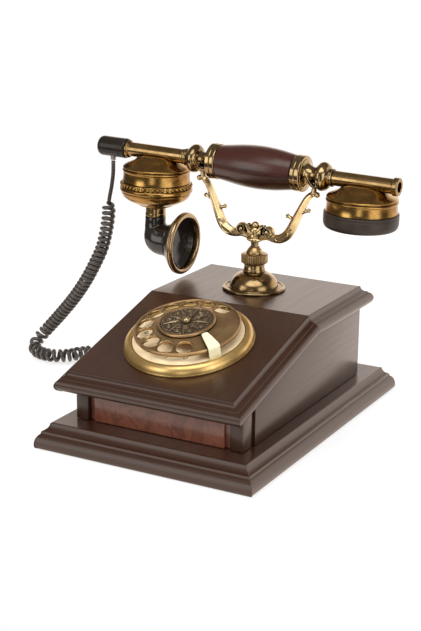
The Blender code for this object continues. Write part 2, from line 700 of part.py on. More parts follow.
def make_finger_stop(dial):
    """An ivory strip that stands outside the wheel and bends in over it."""
    leg_inner = NUMBER_PLATE_RADIUS + GAP
    leg_outer = leg_inner + STOP_THICKNESS
    foot = CAN_FLANGE_TOP + GAP
    bend = WHEEL_RIM_HIGH + STOP_THICKNESS
    tip = wheel_top(STOP_TIP_RADIUS) + STOP_THICKNESS
    half, tip_half = STOP_WIDTH / 2, STOP_TIP_WIDTH / 2
    rings = [
        [
            (leg_inner, -half, foot), (leg_outer, -half, foot), (leg_outer, half, foot),
            (leg_inner, half, foot),
        ],
        [
            (leg_inner, -half, bend), (leg_outer, -half, bend + STOP_THICKNESS),
            (leg_outer, half, bend + STOP_THICKNESS), (leg_inner, half, bend),
        ],
        [
            (STOP_TIP_RADIUS, STOP_TIP_SHIFT - tip_half, tip),
            (STOP_TIP_RADIUS, STOP_TIP_SHIFT - tip_half, tip + STOP_THICKNESS),
            (STOP_TIP_RADIUS, STOP_TIP_SHIFT + tip_half, tip + STOP_THICKNESS),
            (STOP_TIP_RADIUS, STOP_TIP_SHIFT + tip_half, tip),
        ],
    ]
    add_object("finger_stop", loft_mesh("finger_stop", rings), "ivory", dial, turn=(0, 0, STOP_ANGLE))


def make_dial_wheel(dial):
    """What turns: the shaft, the finger wheel with its holes, the centre disc and its nut."""
    hub = add_frame("dial_turning", (0, 0, 0), parent=dial)
    hub_low = WHEEL_RIM_LOW
    flange_low = hub_low - GAP - SHAFT_FLANGE_THICKNESS
    turned("dial_shaft", (
        (0, hub_low - GAP), (SHAFT_FLANGE_RADIUS, hub_low - GAP), (SHAFT_FLANGE_RADIUS, flange_low),
        (SHAFT_RADIUS, flange_low), (SHAFT_RADIUS, -SHAFT_DEPTH), (0, -SHAFT_DEPTH),
    ), 20, "steel", hub)
    rim = WHEEL_RADIUS - WHEEL_RIM_WIDTH
    middle = WHEEL_RADIUS - WHEEL_RIM_WIDTH / 2
    rim_middle = (WHEEL_RIM_LOW + WHEEL_RIM_HIGH) / 2
    wheel = turned("finger_wheel", (
        (0, WHEEL_CROWN_TOP), (DISC_RADIUS, WHEEL_CROWN_TOP), (rim, WHEEL_OUTER_TOP),
        (middle, WHEEL_RIM_HIGH), (WHEEL_RADIUS, rim_middle), (middle, WHEEL_RIM_LOW),
        (rim, WHEEL_OUTER_TOP - WHEEL_SHEET), (DISC_RADIUS, WHEEL_CROWN_TOP - WHEEL_SHEET),
        (SHAFT_FLANGE_RADIUS, WHEEL_CROWN_TOP - WHEEL_SHEET), (SHAFT_FLANGE_RADIUS, hub_low), (0, hub_low),
    ), DIAL_SIDES, "antique_brass", hub)
    for i in range(HOLE_COUNT):
        angle = HOLE_FIRST + HOLE_STEP * i
        place = (HOLE_PITCH_RADIUS * math.cos(angle), HOLE_PITCH_RADIUS * math.sin(angle), 0)
        cut(wheel, cylinder(
            f"finger_hole_{i + 1}", HOLE_RADIUS, WHEEL_RIM_LOW - OVERRUN, WHEEL_CROWN_TOP + OVERRUN,
            SMALL_SIDES, parent=hub, at=place))
    low = WHEEL_CROWN_TOP + GAP
    high = low + DISC_HEIGHT
    inner = DISC_RADIUS - DISC_RIM
    turned("centre_disc", (
        (0, high + GAP), (inner, high - GAP), (inner, high), (DISC_RADIUS - GAP, high),
        (DISC_RADIUS, high - GAP), (DISC_RADIUS, low), (0, low),
    ), DIAL_SIDES, "dark_brass", hub)
    seat = high + 2 * GAP
    turned("centre_nut", (
        (0, seat + NUT_HEIGHT), (NUT_RADIUS / 2, seat + NUT_HEIGHT), (NUT_RADIUS, seat + NUT_HEIGHT * 2 / 3),
        (NUT_RADIUS, seat), (0, seat),
    ), 16, "antique_brass", hub)


def make_cradle_mount():
    """Dome, locking nut and guide: the fixed pieces that the cradle's stem slides in."""
    at = (CRADLE_X, CRADLE_Y, 0)
    bore = STEM_RADIUS + GAP
    seat = LID_TOP + GAP
    rim_top = seat + DOME_RIM_HEIGHT
    dish = seat + DOME_RIM_HEIGHT / 2
    rise = DOME_TOP - dish
    ring_top = DOME_TOP + NECK_RING_HEIGHT
    dome = [(DOME_RADIUS * out, dish + rise * up) for out, up in DOME_PROFILE_SHARES]
    turned("cradle_dome", (
        (bore, NUT_SEAT), (NECK_RADIUS, NUT_SEAT), (NECK_RADIUS, ring_top), (NECK_RING_RADIUS, ring_top),
        (NECK_RING_RADIUS, DOME_TOP), *dome,
        (DOME_RADIUS, dish), (DOME_FLANGE_RADIUS - DOME_RIM_HEIGHT, dish),
        (DOME_FLANGE_RADIUS - DOME_RIM_HEIGHT / 2, rim_top), (DOME_FLANGE_RADIUS, dish),
        (DOME_FLANGE_RADIUS, seat), (bore, seat),
    ), ROUND_SIDES, "antique_brass", at=at)
    make_locking_nut(at, bore)
    ceiling = LID_TOP - LID_THICKNESS - GAP
    floor = ceiling - GUIDE_FLANGE_HEIGHT
    turned("plunger_guide", (
        (bore, LID_TOP), (GUIDE_RADIUS, LID_TOP), (GUIDE_RADIUS, ceiling), (GUIDE_FLANGE_RADIUS, ceiling),
        (GUIDE_FLANGE_RADIUS, floor), (bore, floor),
    ), SMALL_SIDES, "steel", at=at)


def make_locking_nut(at, bore):
    """A knurled ring with a small cone on top."""
    low, high = NUT_SEAT + GAP, NUT_SEAT + LOCK_NUT_HEIGHT
    body = turned("locking_nut", (
        (bore, high + LOCK_CONE_HEIGHT), (bore + GAP, high + LOCK_CONE_HEIGHT), (LOCK_CONE_RADIUS, high),
        (LOCK_NUT_RADIUS - LOCK_NUT_CHAMFER, high), (LOCK_NUT_RADIUS, high - LOCK_NUT_CHAMFER),
        (LOCK_NUT_RADIUS, low + LOCK_NUT_CHAMFER), (LOCK_NUT_RADIUS - LOCK_NUT_CHAMFER, low), (bore, low),
    ), ROUND_SIDES, "antique_brass", at=at)
    rings = []
    for height in (low + LOCK_NUT_CHAMFER, high - LOCK_NUT_CHAMFER):
        ring = []
        for i in range(2 * KNURL_COUNT):
            radius = LOCK_NUT_RADIUS + KNURL_DEPTH * (1 if i % 2 else -1)
            angle = math.pi * i / KNURL_COUNT
            ring.append((radius * math.cos(angle), radius * math.sin(angle), height))
        rings.append(ring)
    knurl = add_object("knurl", loft_mesh("knurl", rings), at=at, cutter=True)
    hollow = cylinder("knurl_hollow", LOCK_CONE_RADIUS, NUT_SEAT, high, 16, at=at)
    cut(knurl, hollow)
    join(body, knurl)


def make_plunger():
    head_top = PLUNGER_BOTTOM + PLUNGER_HEAD_HEIGHT
    top = STEM_TOP - GAP
    turned("plunger", (
        (0, top), (STEM_RADIUS, top), (STEM_RADIUS, head_top), (PLUNGER_HEAD_RADIUS, head_top),
        (PLUNGER_HEAD_RADIUS, PLUNGER_BOTTOM), (0, PLUNGER_BOTTOM),
    ), 20, "steel", at=(CRADLE_X, CRADLE_Y, 0))
    floor = PLINTH_HEIGHT + 2 * GAP + BOARD_THICKNESS
    low = floor + GAP + SPRING_WIRE / 2
    high = PLUNGER_BOTTOM - GAP - SPRING_WIRE / 2
    points = []
    for i in range(SPRING_TURNS * 8 + 1):
        share = i / (SPRING_TURNS * 8)
        angle = math.tau * SPRING_TURNS * share
        height = low + (high - low) * share
        points.append((SPRING_RADIUS * math.cos(angle), SPRING_RADIUS * math.sin(angle), height))
    add_wire("plunger_spring", points, SPRING_WIRE / 2, 1, "steel", at=(CRADLE_X, CRADLE_Y, 0))


def add_wire(name, points, radius, resolution, look, at=(0, 0, 0)):
    """A wire as a curve with filled ends."""
    data = bpy.data.curves.new(name, "CURVE")
    data.dimensions = "3D"
    spline = data.splines.new("POLY")
    spline.points.add(len(points) - 1)
    for place, point in zip(spline.points, points):
        place.co = (*point, 1)
    data.bevel_depth = radius
    data.bevel_resolution = resolution
    data.use_fill_caps = True
    data.materials.append(MATERIALS[look])
    made = bpy.data.objects.new(name, data)
    made.location = at
    PARTS.objects.link(made)
    return made


def fork_point(spread_share, rise_share, side):
    return Vector((side * FORK_SPREAD * spread_share, 0, FORK_RISE * rise_share))


def make_fork(head):
    """One casting: a boss, two curled arms with scrolls and stubs, and a tine across each arm's end."""
    fork = turned("cradle_fork", (
        (0, BOSS_HEIGHT), (BOSS_WAIST, BOSS_HEIGHT), (BOSS_WAIST, BOSS_RIM + GAP), (BOSS_RADIUS, BOSS_RIM),
        (BOSS_RADIUS, BOSS_RIM / 3), (BOSS_RADIUS * 0.8, 0), (0, 0),
    ), 16, "antique_brass", head)
    join(fork, ball("crown_bead", CROWN_BEAD, (0, 0, BOSS_HEIGHT + CROWN_BEAD / 2), head))
    for side, label in ((-1, "left"), (1, "right")):
        path = [fork_point(spread, rise, side) for spread, rise, _ in FORK_ARM_SHARES]
        radii = [FORK_ROD * thickness for _, _, thickness in FORK_ARM_SHARES]
        arm = add_object(f"arm_{label}", tube_mesh(f"arm_{label}", path, radii, 6), parent=head, cutter=True)
        scroll = cylinder(
            f"scroll_{label}", SCROLL_RADIUS, -SCROLL_WIDTH / 2, SCROLL_WIDTH / 2, 14,
            parent=head, at=(side * SCROLL_REACH, 0, SCROLL_HEIGHT), turn=(math.pi / 2, 0, 0))
        join(fork, arm, scroll)
        for i, (spread, rise, way) in enumerate(FORK_STUB_SHARES, 1):
            start = fork_point(spread, rise, side)
            end = start + Vector((side * way * STUB_LENGTH, 0, STUB_LENGTH / 3))
            name = f"stub_{label}_{i}"
            rod = tube_mesh(name, [start, end], [STUB_RADIUS] * 2, 6)
            stub = add_object(name, rod, parent=head, cutter=True)
            join(fork, stub, ball(f"{name}_ball", STUB_BALL, end, head))
        join(fork, *make_tine(head, side, label))
    return fork


def make_tine(head, side, label):
    """The rod across an arm's end that carries the handset's neck, and the knob outside it."""
    seat = HANDSET_AXIS - HANDSET_NECK_RADIUS - GAP - TINE_RADIUS
    x = side * NECK_AT
    points, radii = [], []
    for share in TINE_SHARES:
        points.append((x, TINE_REACH * share, seat + TINE_RISE * abs(share) ** TINE_CURVE))
        radii.append(TINE_RADIUS * (TINE_TIP_SHARE if abs(share) == 1 else 1.0))
    name = f"tine_{label}"
    tine = add_object(name, tube_mesh(name, points, radii, 6), parent=head, cutter=True)
    spread, rise, thickness = FORK_ARM_SHARES[-1]
    start = fork_point(spread, rise, side)
    rod = tube_mesh(f"{name}_riser", [start, Vector((x, 0, seat))], [FORK_ROD * thickness, TINE_RADIUS], 8)
    riser = add_object(f"{name}_riser", rod, parent=head, cutter=True)
    knob_at = start + Vector((side * KNOB_REACH, 0, -GAP))
    knob = ball(f"{name}_knob", KNOB_RADIUS, knob_at, head)
    return riser, tine, knob


def make_handset(head):
    axis = add_frame("handset_axis", (0, 0, HANDSET_AXIS), parent=head)
    along = (0, math.pi / 2, 0)
    bulge = GRIP_RADIUS - GRIP_END_RADIUS
    swelling = [
        (GRIP_END_RADIUS + bulge * math.cos(math.pi / 2 * share) ** GRIP_SWELL, GRIP_HALF * share)
        for share in GRIP_SHARES
    ]
    turned("grip", (
        (0, GRIP_HALF), (GRIP_END_RADIUS, GRIP_HALF), *swelling,
        (GRIP_END_RADIUS, -GRIP_HALF), (0, -GRIP_HALF),
    ), ROUND_SIDES, "grip_wood", axis, turn=along)
    make_knuckle("knuckle_right", axis, along)
    make_knuckle("knuckle_left", axis, (0, -math.pi / 2, 0))
    make_right_tube(axis, along)
    make_left_tube(axis)
    return axis


def make_knuckle(name, axis, turn):
    """The turned brass piece at one end of the grip: ferrule, waist, bulge and ring."""
    start = GRIP_HALF + GAP
    step = GRIP_END_RADIUS - HANDSET_NECK_RADIUS
    waist = NECK_AT - FERRULE_END
    swell = BULGE_RADIUS - HANDSET_NECK_RADIUS
    reach = BULGE_END - BULGE_AT
    bulge = [(HANDSET_NECK_RADIUS + swell * up, BULGE_AT + reach * out) for up, out in BULGE_PROFILE_SHARES]
    hollow = [
        (HANDSET_NECK_RADIUS + step * up, FERRULE_END + waist * out) for up, out in WAIST_PROFILE_SHARES]
    turned(name, (
        (0, KNUCKLE_END), (KNUCKLE_RING_RADIUS, KNUCKLE_END), (KNUCKLE_RING_RADIUS, BULGE_END), *bulge,
        (HANDSET_NECK_RADIUS, NECK_AT + NECK_HALF), (HANDSET_NECK_RADIUS, NECK_AT - NECK_HALF), *hollow,
        (FERRULE_RADIUS, FERRULE_END), (FERRULE_RADIUS, start), (0, start),
    ), ROUND_SIDES, "antique_brass", axis, turn=turn)


def make_right_tube(axis, along):
    start = KNUCKLE_END + GAP
    floor = TUBE_RIM_END - TUBE_MOUTH_DEPTH
    turned("tube_right", (
        (0, floor), (TUBE_MOUTH_RADIUS, floor), (TUBE_MOUTH_RADIUS, TUBE_RIM_END),
        (TUBE_RIM_RADIUS - GAP, TUBE_RIM_END), (TUBE_RIM_RADIUS, TUBE_RIM_END - GAP),
        (TUBE_RIM_RADIUS, TUBE_RIGHT_END), (TUBE_RADIUS, TUBE_RIGHT_END), (TUBE_RADIUS, start), (0, start),
    ), SMALL_SIDES, "antique_brass", axis, turn=along)


def make_left_tube(axis):
    along = (0, -math.pi / 2, 0)
    start = KNUCKLE_END + GAP
    turned("tube_left", (
        (0, LIP_END), (LIP_RADIUS, LIP_END), (LIP_RADIUS, TUBE_LEFT_END), (TUBE_RADIUS, TUBE_LEFT_END),
        (TUBE_RADIUS, start), (0, start),
    ), SMALL_SIDES, "antique_brass", axis, turn=along)
    back = LIP_END + GAP
    nose = [
        (CAP_RADIUS - CAP_ROUND * inward, CAP_END - CAP_ROUND * away) for inward, away in CAP_ROUND_SHARES]
    turned("end_cap", (
        (0, CAP_END), *nose, (CAP_RADIUS, back), (0, back),
    ), ROUND_SIDES, "black_gloss", axis, turn=along)
    top = -CAP_RADIUS - GAP
    turned("cord_gland", (
        (0, top), (GLAND_RADIUS, top), (GLAND_RADIUS * GLAND_TAPER, top - GLAND_LENGTH),
        (0, top - GLAND_LENGTH),
    ), 12, "antique_brass", axis, at=(-GLAND_AT, 0, 0))


def cup_profile(bottom, shell_top):
    """A domed cup open below: down the outside, then up the inside."""
    inner = CUP_RADIUS - CUP_SHELL
    drop = CUP_SHOULDER - CUP_CROWN
    reach = CUP_RADIUS - CUP_CROWN_RADIUS
    dome = [(CUP_CROWN_RADIUS + reach * out, -CUP_CROWN - drop * down) for out, down in CUP_PROFILE_SHARES]
    return (
        (0, -CUP_CROWN), (CUP_CROWN_RADIUS, -CUP_CROWN), *dome, (CUP_RADIUS, -CUP_SHOULDER),
        (CUP_RADIUS, -CUP_SHOULDER - CUP_SHELL), (CUP_RADIUS - GAP, -CUP_SHOULDER - CUP_SHELL),
        (CUP_RADIUS - GAP, -bottom), (inner, -bottom), (inner, -shell_top), (0, -shell_top),
    )


def saddle_cutter(name, axis, x):
    """Clears the tube that a cup hangs from."""
    reach = CUP_RADIUS + OVERRUN
    return cylinder(
        name, TUBE_RADIUS + GAP, -reach, reach, SMALL_SIDES, parent=axis, at=(x, 0, 0),
        turn=(0, math.pi / 2, 0))


def make_transmitter(axis):
    """Cup, beaded ring, bowl, collar, capsule, elbow, horn and its rim."""
    at = (-TRANSMITTER_AT, 0, 0)
    ceiling = CUP_SHOULDER + CUP_SHELL
    profile = cup_profile(CUP_BOTTOM, ceiling)
    housing = turned("transmitter_housing", profile, ROUND_SIDES, "antique_brass", axis, at=at)
    cut(housing, saddle_cutter("transmitter_saddle", axis, -TRANSMITTER_AT))
    capsule_top = -ceiling - GAP
    turned("transmitter_capsule", (
        (0, capsule_top), (CAPSULE_RADIUS, capsule_top), (CAPSULE_RADIUS, capsule_top - CAPSULE_THICKNESS),
        (0, capsule_top - CAPSULE_THICKNESS),
    ), 20, "steel", axis, at=at)
    top = -CUP_BOTTOM - GAP
    low = top - RING_HEIGHT
    edge = RING_RADIUS - RING_EASE
    inner = CUP_RADIUS - 2 * CUP_SHELL
    turned("beaded_ring", (
        (edge, top), (RING_RADIUS, top - RING_EASE), (RING_RADIUS, low + RING_EASE), (edge, low),
        (inner, low), (inner, top),
    ), ROUND_SIDES, "antique_brass", axis, at=at)
    make_bowl(axis, at, low - GAP, edge)
    make_elbow(axis)
    make_horn(axis)


def make_bowl(axis, at, top, edge):
    """The lower bowl, its step and the collar above the elbow."""
    drop = BOWL_BOTTOM + top
    step_end = -COLLAR_TOP + GAP
    bowl = [
        (edge - (edge - BOWL_END_RADIUS) * inward, top - drop * down)
        for inward, down in BOWL_PROFILE_SHARES]
    turned("transmitter_bowl", (
        (0, top), (edge, top), *bowl, (BOWL_END_RADIUS, -BOWL_BOTTOM),
        (BOWL_END_RADIUS, -BOWL_BOTTOM - GAP * 2), (COLLAR_RADIUS + GAP, step_end), (0, step_end),
    ), ROUND_SIDES, "antique_brass", axis, at=at)
    turned("transmitter_collar", (
        (0, -COLLAR_TOP), (COLLAR_RADIUS, -COLLAR_TOP), (COLLAR_RADIUS, -COLLAR_BOTTOM), (0, -COLLAR_BOTTOM),
    ), SMALL_SIDES, "antique_brass", axis, at=at)


def make_elbow(axis):
    """A black bend, from straight down to level towards the speaker, that widens as it turns."""
    top = -COLLAR_BOTTOM - GAP
    corner_x = ELBOW_RADIUS + ELBOW_CORNER
    corner_z = -ELBOW_DROP + ELBOW_END_RADIUS + ELBOW_CORNER
    first = corner_x + ELBOW_RADIUS
    last = 2 * ELBOW_END_RADIUS + ELBOW_CORNER
    rings = [elbow_ring(0, top, ELBOW_RADIUS, 0)]
    for turn, way in ELBOW_TURN_SHARES:
        angle = math.pi / 2 * turn
        reach = first + (last - first) * way
        out = (reach + ELBOW_CORNER) / 2
        rings.append(elbow_ring(
            corner_x - out * math.cos(angle), corner_z - out * math.sin(angle), (reach - ELBOW_CORNER) / 2, angle))
    rings.append(elbow_ring(ELBOW_REACH, -ELBOW_DROP, ELBOW_END_RADIUS, math.pi / 2))
    add_object("elbow", loft_mesh("elbow", rings), "black_gloss", axis)


def elbow_ring(x, z, radius, angle):
    """A circle of the bend, turned about Y, x ahead of the transmitter's middle."""
    points = []
    for i in range(ELBOW_SIDES):
        t = math.tau * i / ELBOW_SIDES
        along = radius * math.cos(t)
        points.append(Vector((
            x - TRANSMITTER_AT + along * math.cos(angle), radius * math.sin(t), z + along * math.sin(angle))))
    return points


def make_horn(axis):
    """The flared mouthpiece and the brass ring round its mouth."""
    throat_x = -TRANSMITTER_AT + ELBOW_REACH + GAP
    widening = HORN_RADIUS - ELBOW_END_RADIUS
    outer = [(ELBOW_END_RADIUS + widening * flare, HORN_LENGTH * along) for along, flare in HORN_SHARES]
    widening = HORN_RADIUS - HORN_WALL - HORN_THROAT_RADIUS
    depth = HORN_LENGTH - HORN_WALL
    inner = [
        (HORN_THROAT_RADIUS + widening * flare, HORN_WALL + depth * along) for along, flare in HORN_SHARES]
    profile = [(0, HORN_WALL)] + inner + outer[::-1] + [(0, 0)]
    place = (throat_x, 0, -ELBOW_DROP)
    turned("mouthpiece_horn", profile, ROUND_SIDES, "black_gloss", axis, at=place, turn=(0, math.pi / 2, 0))
    low = HORN_LENGTH + GAP
    high = low + HORN_RIM_THICKNESS
    turned("mouthpiece_rim", (
        (HORN_RIM_INNER, high - GAP), ((HORN_RIM_INNER + HORN_RIM_RADIUS) / 2, high),
        (HORN_RIM_RADIUS, high - HORN_RIM_THICKNESS / 2), (HORN_RIM_RADIUS, low), (HORN_RIM_INNER, low),
    ), ROUND_SIDES, "antique_brass", axis, at=place, turn=(0, math.pi / 2, 0))


def make_receiver(axis):
    """Cup, capsule and black ear cap."""
    at = (RECEIVER_AT, 0, 0)
    ceiling = CUP_SHOULDER + CUP_SHELL
    bottom = EAR_CAP_TOP - GAP
    profile = cup_profile(bottom, ceiling)
    housing = turned("receiver_housing", profile, ROUND_SIDES, "antique_brass", axis, at=at)
    cut(housing, saddle_cutter("receiver_saddle", axis, RECEIVER_AT))
    capsule_top = -ceiling - GAP
    turned("receiver_capsule", (
        (0, capsule_top), (CAPSULE_RADIUS, capsule_top), (CAPSULE_RADIUS, capsule_top - CAPSULE_THICKNESS),
        (0, capsule_top - CAPSULE_THICKNESS),
    ), 20, "steel", axis, at=at)
    height = EAR_CAP_BOTTOM - EAR_CAP_TOP
    side = [(EAR_CAP_RADIUS * out, -EAR_CAP_TOP - height * down) for out, down in EAR_CAP_PROFILE_SHARES]
    turned("ear_cap", (
        (0, -EAR_CAP_TOP), (EAR_CAP_RADIUS - GAP, -EAR_CAP_TOP), (EAR_CAP_RADIUS, -EAR_CAP_TOP - GAP), *side,
        (EAR_CAP_FACE_RADIUS, -EAR_CAP_BOTTOM), (EAR_CAP_FACE_RADIUS / 2, -EAR_CAP_BOTTOM + EAR_CAP_DISH),
        (0, -EAR_CAP_BOTTOM + EAR_CAP_DISH),
    ), ROUND_SIDES, "black_satin", axis, at=at)


def make_cord_socket():
    """The grommet in the left wall. Returns the cutter for its hole."""
    at = (-CASE_HALF_WIDTH, SOCKET_Y, SOCKET_Z)
    turn = (0, -math.pi / 2, 0)
    turned("cord_socket", (
        (0, SOCKET_PROUD), (SOCKET_SHANK_RADIUS, SOCKET_PROUD), (SOCKET_RADIUS, SOCKET_PROUD / 2),
        (SOCKET_RADIUS, GAP), (SOCKET_SHANK_RADIUS, GAP), (SOCKET_SHANK_RADIUS, -WALL), (0, -WALL),
    ), 16, "black_satin", at=at, turn=turn)
    return cylinder(
        "cord_socket_hole", SOCKET_SHANK_RADIUS + GAP, -WALL - OVERRUN, OVERRUN, 16, at=at, turn=turn)


def make_line_jack():
    """The socket for the telephone line, let into the back wall. Returns the cutter for its hole."""
    floor = PLINTH_HEIGHT + GAP + JACK_RISE
    back = CASE_REAR_Y + JACK_PROUD
    jack = block(
        "line_jack", (JACK_X - JACK_WIDTH / 2, back - JACK_DEPTH, floor),
        (JACK_X + JACK_WIDTH / 2, back, floor + JACK_HEIGHT), "black_satin")
    middle = floor + JACK_HEIGHT / 2
    mouth = block(
        "jack_mouth",
        (JACK_X - JACK_MOUTH_WIDTH / 2, back - JACK_MOUTH_DEPTH, middle - JACK_MOUTH_HEIGHT / 2),
        (JACK_X + JACK_MOUTH_WIDTH / 2, back + OVERRUN, middle + JACK_MOUTH_HEIGHT / 2), cutter=True)
    cut(jack, mouth)
    return block(
        "jack_hole", (JACK_X - JACK_WIDTH / 2 - GAP, CASE_REAR_Y - WALL - OVERRUN, floor - GAP),
        (JACK_X + JACK_WIDTH / 2 + GAP, CASE_REAR_Y + OVERRUN, floor + JACK_HEIGHT + GAP), cutter=True)


def make_inside():
    """Circuit board, hook switch with its lever, and the ringer."""
    floor = PLINTH_HEIGHT + GAP
    board_top = floor + BOARD_THICKNESS
    block(
        "circuit_board", (CRADLE_X - BOARD_HALF_WIDTH, CRADLE_Y - BOARD_HALF_DEPTH, floor),
        (CRADLE_X + BOARD_HALF_WIDTH, CRADLE_Y + BOARD_HALF_DEPTH, board_top), "board_green")
    lever_low = PLUNGER_BOTTOM + PLUNGER_HEAD_HEIGHT + LEVER_CLEARANCE
    switch_top = lever_low - 2 * LEVER_CLEARANCE
    block(
        "hook_switch", (SWITCH_X, CRADLE_Y - SWITCH_HALF_DEPTH, board_top + GAP),
        (SWITCH_X + SWITCH_WIDTH, CRADLE_Y + SWITCH_HALF_DEPTH, switch_top), "black_satin")
    block(
        "switch_lever", (CRADLE_X + STEM_RADIUS + 2 * GAP, CRADLE_Y - LEVER_HALF_WIDTH, lever_low),
        (LEVER_PIVOT_X + LEVER_TAIL, CRADLE_Y + LEVER_HALF_WIDTH, lever_low + LEVER_THICKNESS), "steel")
    make_ringer(floor)


def make_ringer(floor):
    """Two gongs on posts, a coil and the clapper between them."""
    rim = floor + GONG_POST_HEIGHT - GONG_HEIGHT
    top = floor + GONG_POST_HEIGHT
    bell = GONG_RADIUS - GONG_WALL
    outer = [(GONG_RADIUS * out, top - GONG_HEIGHT * down) for out, down in GONG_PROFILE_SHARES]
    inner = [(bell * out, top - GONG_WALL - GONG_HEIGHT * down) for out, down in GONG_PROFILE_SHARES[::-1]]
    for side, label in ((-1, "left"), (1, "right")):
        turned(f"gong_{label}", (
            (0, top), *outer, (GONG_RADIUS, rim), (bell, rim), *inner,
            (GONG_POST_RADIUS, top - GONG_WALL), (GONG_POST_RADIUS, floor), (0, floor),
        ), SMALL_SIDES, "antique_brass", at=(side * GONG_SPREAD, GONG_Y, 0))
    block(
        "ringer_coil", (-COIL_HALF_WIDTH, COIL_Y, floor),
        (COIL_HALF_WIDTH, COIL_Y + COIL_DEPTH, floor + COIL_HEIGHT), "copper")
    clapper = add_object("clapper", tube_mesh("clapper", [
        (0, COIL_Y - GAP, floor + COIL_HEIGHT / 2),
        (0, CLAPPER_BALL_Y, floor + COIL_HEIGHT / 2),
    ], [CLAPPER_ROD] * 2, 8), "steel")
    join(clapper, ball("clapper_ball", CLAPPER_BALL, (0, CLAPPER_BALL_Y, floor + COIL_HEIGHT / 2), None, 2))


def smooth_route(points, per_span=24):
    """Points closely spaced on a smooth curve through the route's own points."""
    given = np.array(points) + (0, CASE_REAR_Y, 0)
    padded = np.vstack([2 * given[0] - given[1], given, 2 * given[-1] - given[-2]])
    made = []
    for before, start, end, after in zip(padded, padded[1:], padded[2:], padded[3:]):
        for i in range(per_span):
            t = i / per_span
            made.append(0.5 * (
                2 * start + (end - before) * t + (2 * before - 5 * start + 4 * end - after) * t**2
                + (3 * start - before - 3 * end + after) * t**3))
    made.append(given[-1])
    return np.array(made)


def curl_pitches(line, lengths):
    """The room that one curl takes at each point: curls open up where the cord bends tightly."""
    tangents = np.gradient(line, lengths, axis=0)
    tangents /= np.linalg.norm(tangents, axis=1)[:, None]
    bends = np.linalg.norm(np.gradient(tangents, lengths, axis=0), axis=1)
    window = np.ones(BEND_WINDOW) / BEND_WINDOW
    bends = np.convolve(np.pad(bends, BEND_WINDOW // 2, mode="edge"), window, "valid")
    inside = 1 - CURL_RADIUS * np.minimum(bends, 1 / TIGHTEST_BEND)
    even = HUNG_PITCH + (LAID_PITCH - HUNG_PITCH) * lengths / lengths[-1]
    return np.maximum(even, (CORD_DIAMETER + CURL_GAP) / inside)


def cord_points():
    """Straight lead, curls worked out as a helix round the route, and straight lead again."""
    line = smooth_route(CORD_ROUTE)
    lengths = np.concatenate([[0], np.cumsum(np.linalg.norm(np.diff(line, axis=0), axis=1))])
    total = lengths[-1]
    first, last = CURLS_FROM, total - CURLS_BEFORE_END
    pitches = curl_pitches(line, lengths)
    counted = np.concatenate([[0], np.cumsum(np.diff(lengths) / pitches[1:])])
    counted -= np.interp(first, lengths, counted)
    curls = round(float(np.interp(last, lengths, counted)))
    counted *= curls / np.interp(last, lengths, counted)
    lead_step = 2 * CORD_DIAMETER
    steps = [i / POINTS_PER_CURL for i in range(curls * POINTS_PER_CURL + 1)]
    before = np.arange(0, first - lead_step / 2, lead_step)
    along = np.interp(steps, counted, lengths)
    after = np.arange(total, last + lead_step / 2, -lead_step)[::-1]
    places = np.concatenate([before, along, after])
    turns = np.concatenate([np.zeros(len(before)), steps, np.zeros(len(after))])
    centres = np.array([[np.interp(place, lengths, line[:, k]) for k in range(3)] for place in places])
    _, tangents, sides = transported(centres)
    points = []
    for place, turn, centre, tangent, side in zip(places, turns, centres, tangents, sides):
        ramp = min(1.0, max(0.0, min(place - first, last - place) / CURL_LEAD))
        angle = math.tau * float(turn)
        outward = math.cos(angle) * side + math.sin(angle) * tangent.cross(side)
        points.append(Vector(centre) + float(CURL_RADIUS * ramp) * outward)
    return points, curls


def report_cord(points, curls):
    """Prints the cord's length and its least gap to itself, measured on closely spaced points."""
    given = np.array([tuple(point) for point in points])
    pieces = [np.linspace(a, b, 4, endpoint=False) for a, b in zip(given, given[1:])]
    fine = np.vstack(pieces)
    lengths = np.concatenate([[0], np.cumsum(np.linalg.norm(np.diff(fine, axis=0), axis=1))])
    apart = 2 * math.pi * CURL_RADIUS / 2
    least = math.inf
    for i, point in enumerate(fine):
        far = lengths - lengths[i] > apart
        if far.any():
            least = min(least, np.linalg.norm(fine[far] - point, axis=1).min())
    print(f"cord: {curls} curls, {lengths[-1]:.3f} m long, least gap {1000 * (least - CORD_DIAMETER):.2f} mm")


def make_cord():
    points, curls = cord_points()
    add_wire("handset_cord", points, CORD_DIAMETER / 2, 1, "black_satin")
    report_cord(points, curls)


def main():
    global PARTS, CUTTERS
    for old in list(bpy.data.objects):
        bpy.data.objects.remove(old)
    PARTS = make_collection("telephone")
    CUTTERS = make_collection("cutters")
    make_finishes()
    make_plinth()
    make_walls()
    dial = make_lid()
    make_dial_mount(dial)
    make_dial_wheel(dial)
    make_cradle_mount()
    make_plunger()
    head = add_frame("cradle_head", (CRADLE_X, CRADLE_Y, STEM_TOP), (0, CRADLE_LEAN, 0))
    make_fork(head)
    axis = make_handset(head)
    make_transmitter(axis)
    make_receiver(axis)
    make_inside()
    make_cord()


main()
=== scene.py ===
"""Dressed model of a rotary desk telephone in antique style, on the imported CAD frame."""

import json
import math

import bmesh
import bpy
import numpy as np
from mathutils import Matrix, Vector

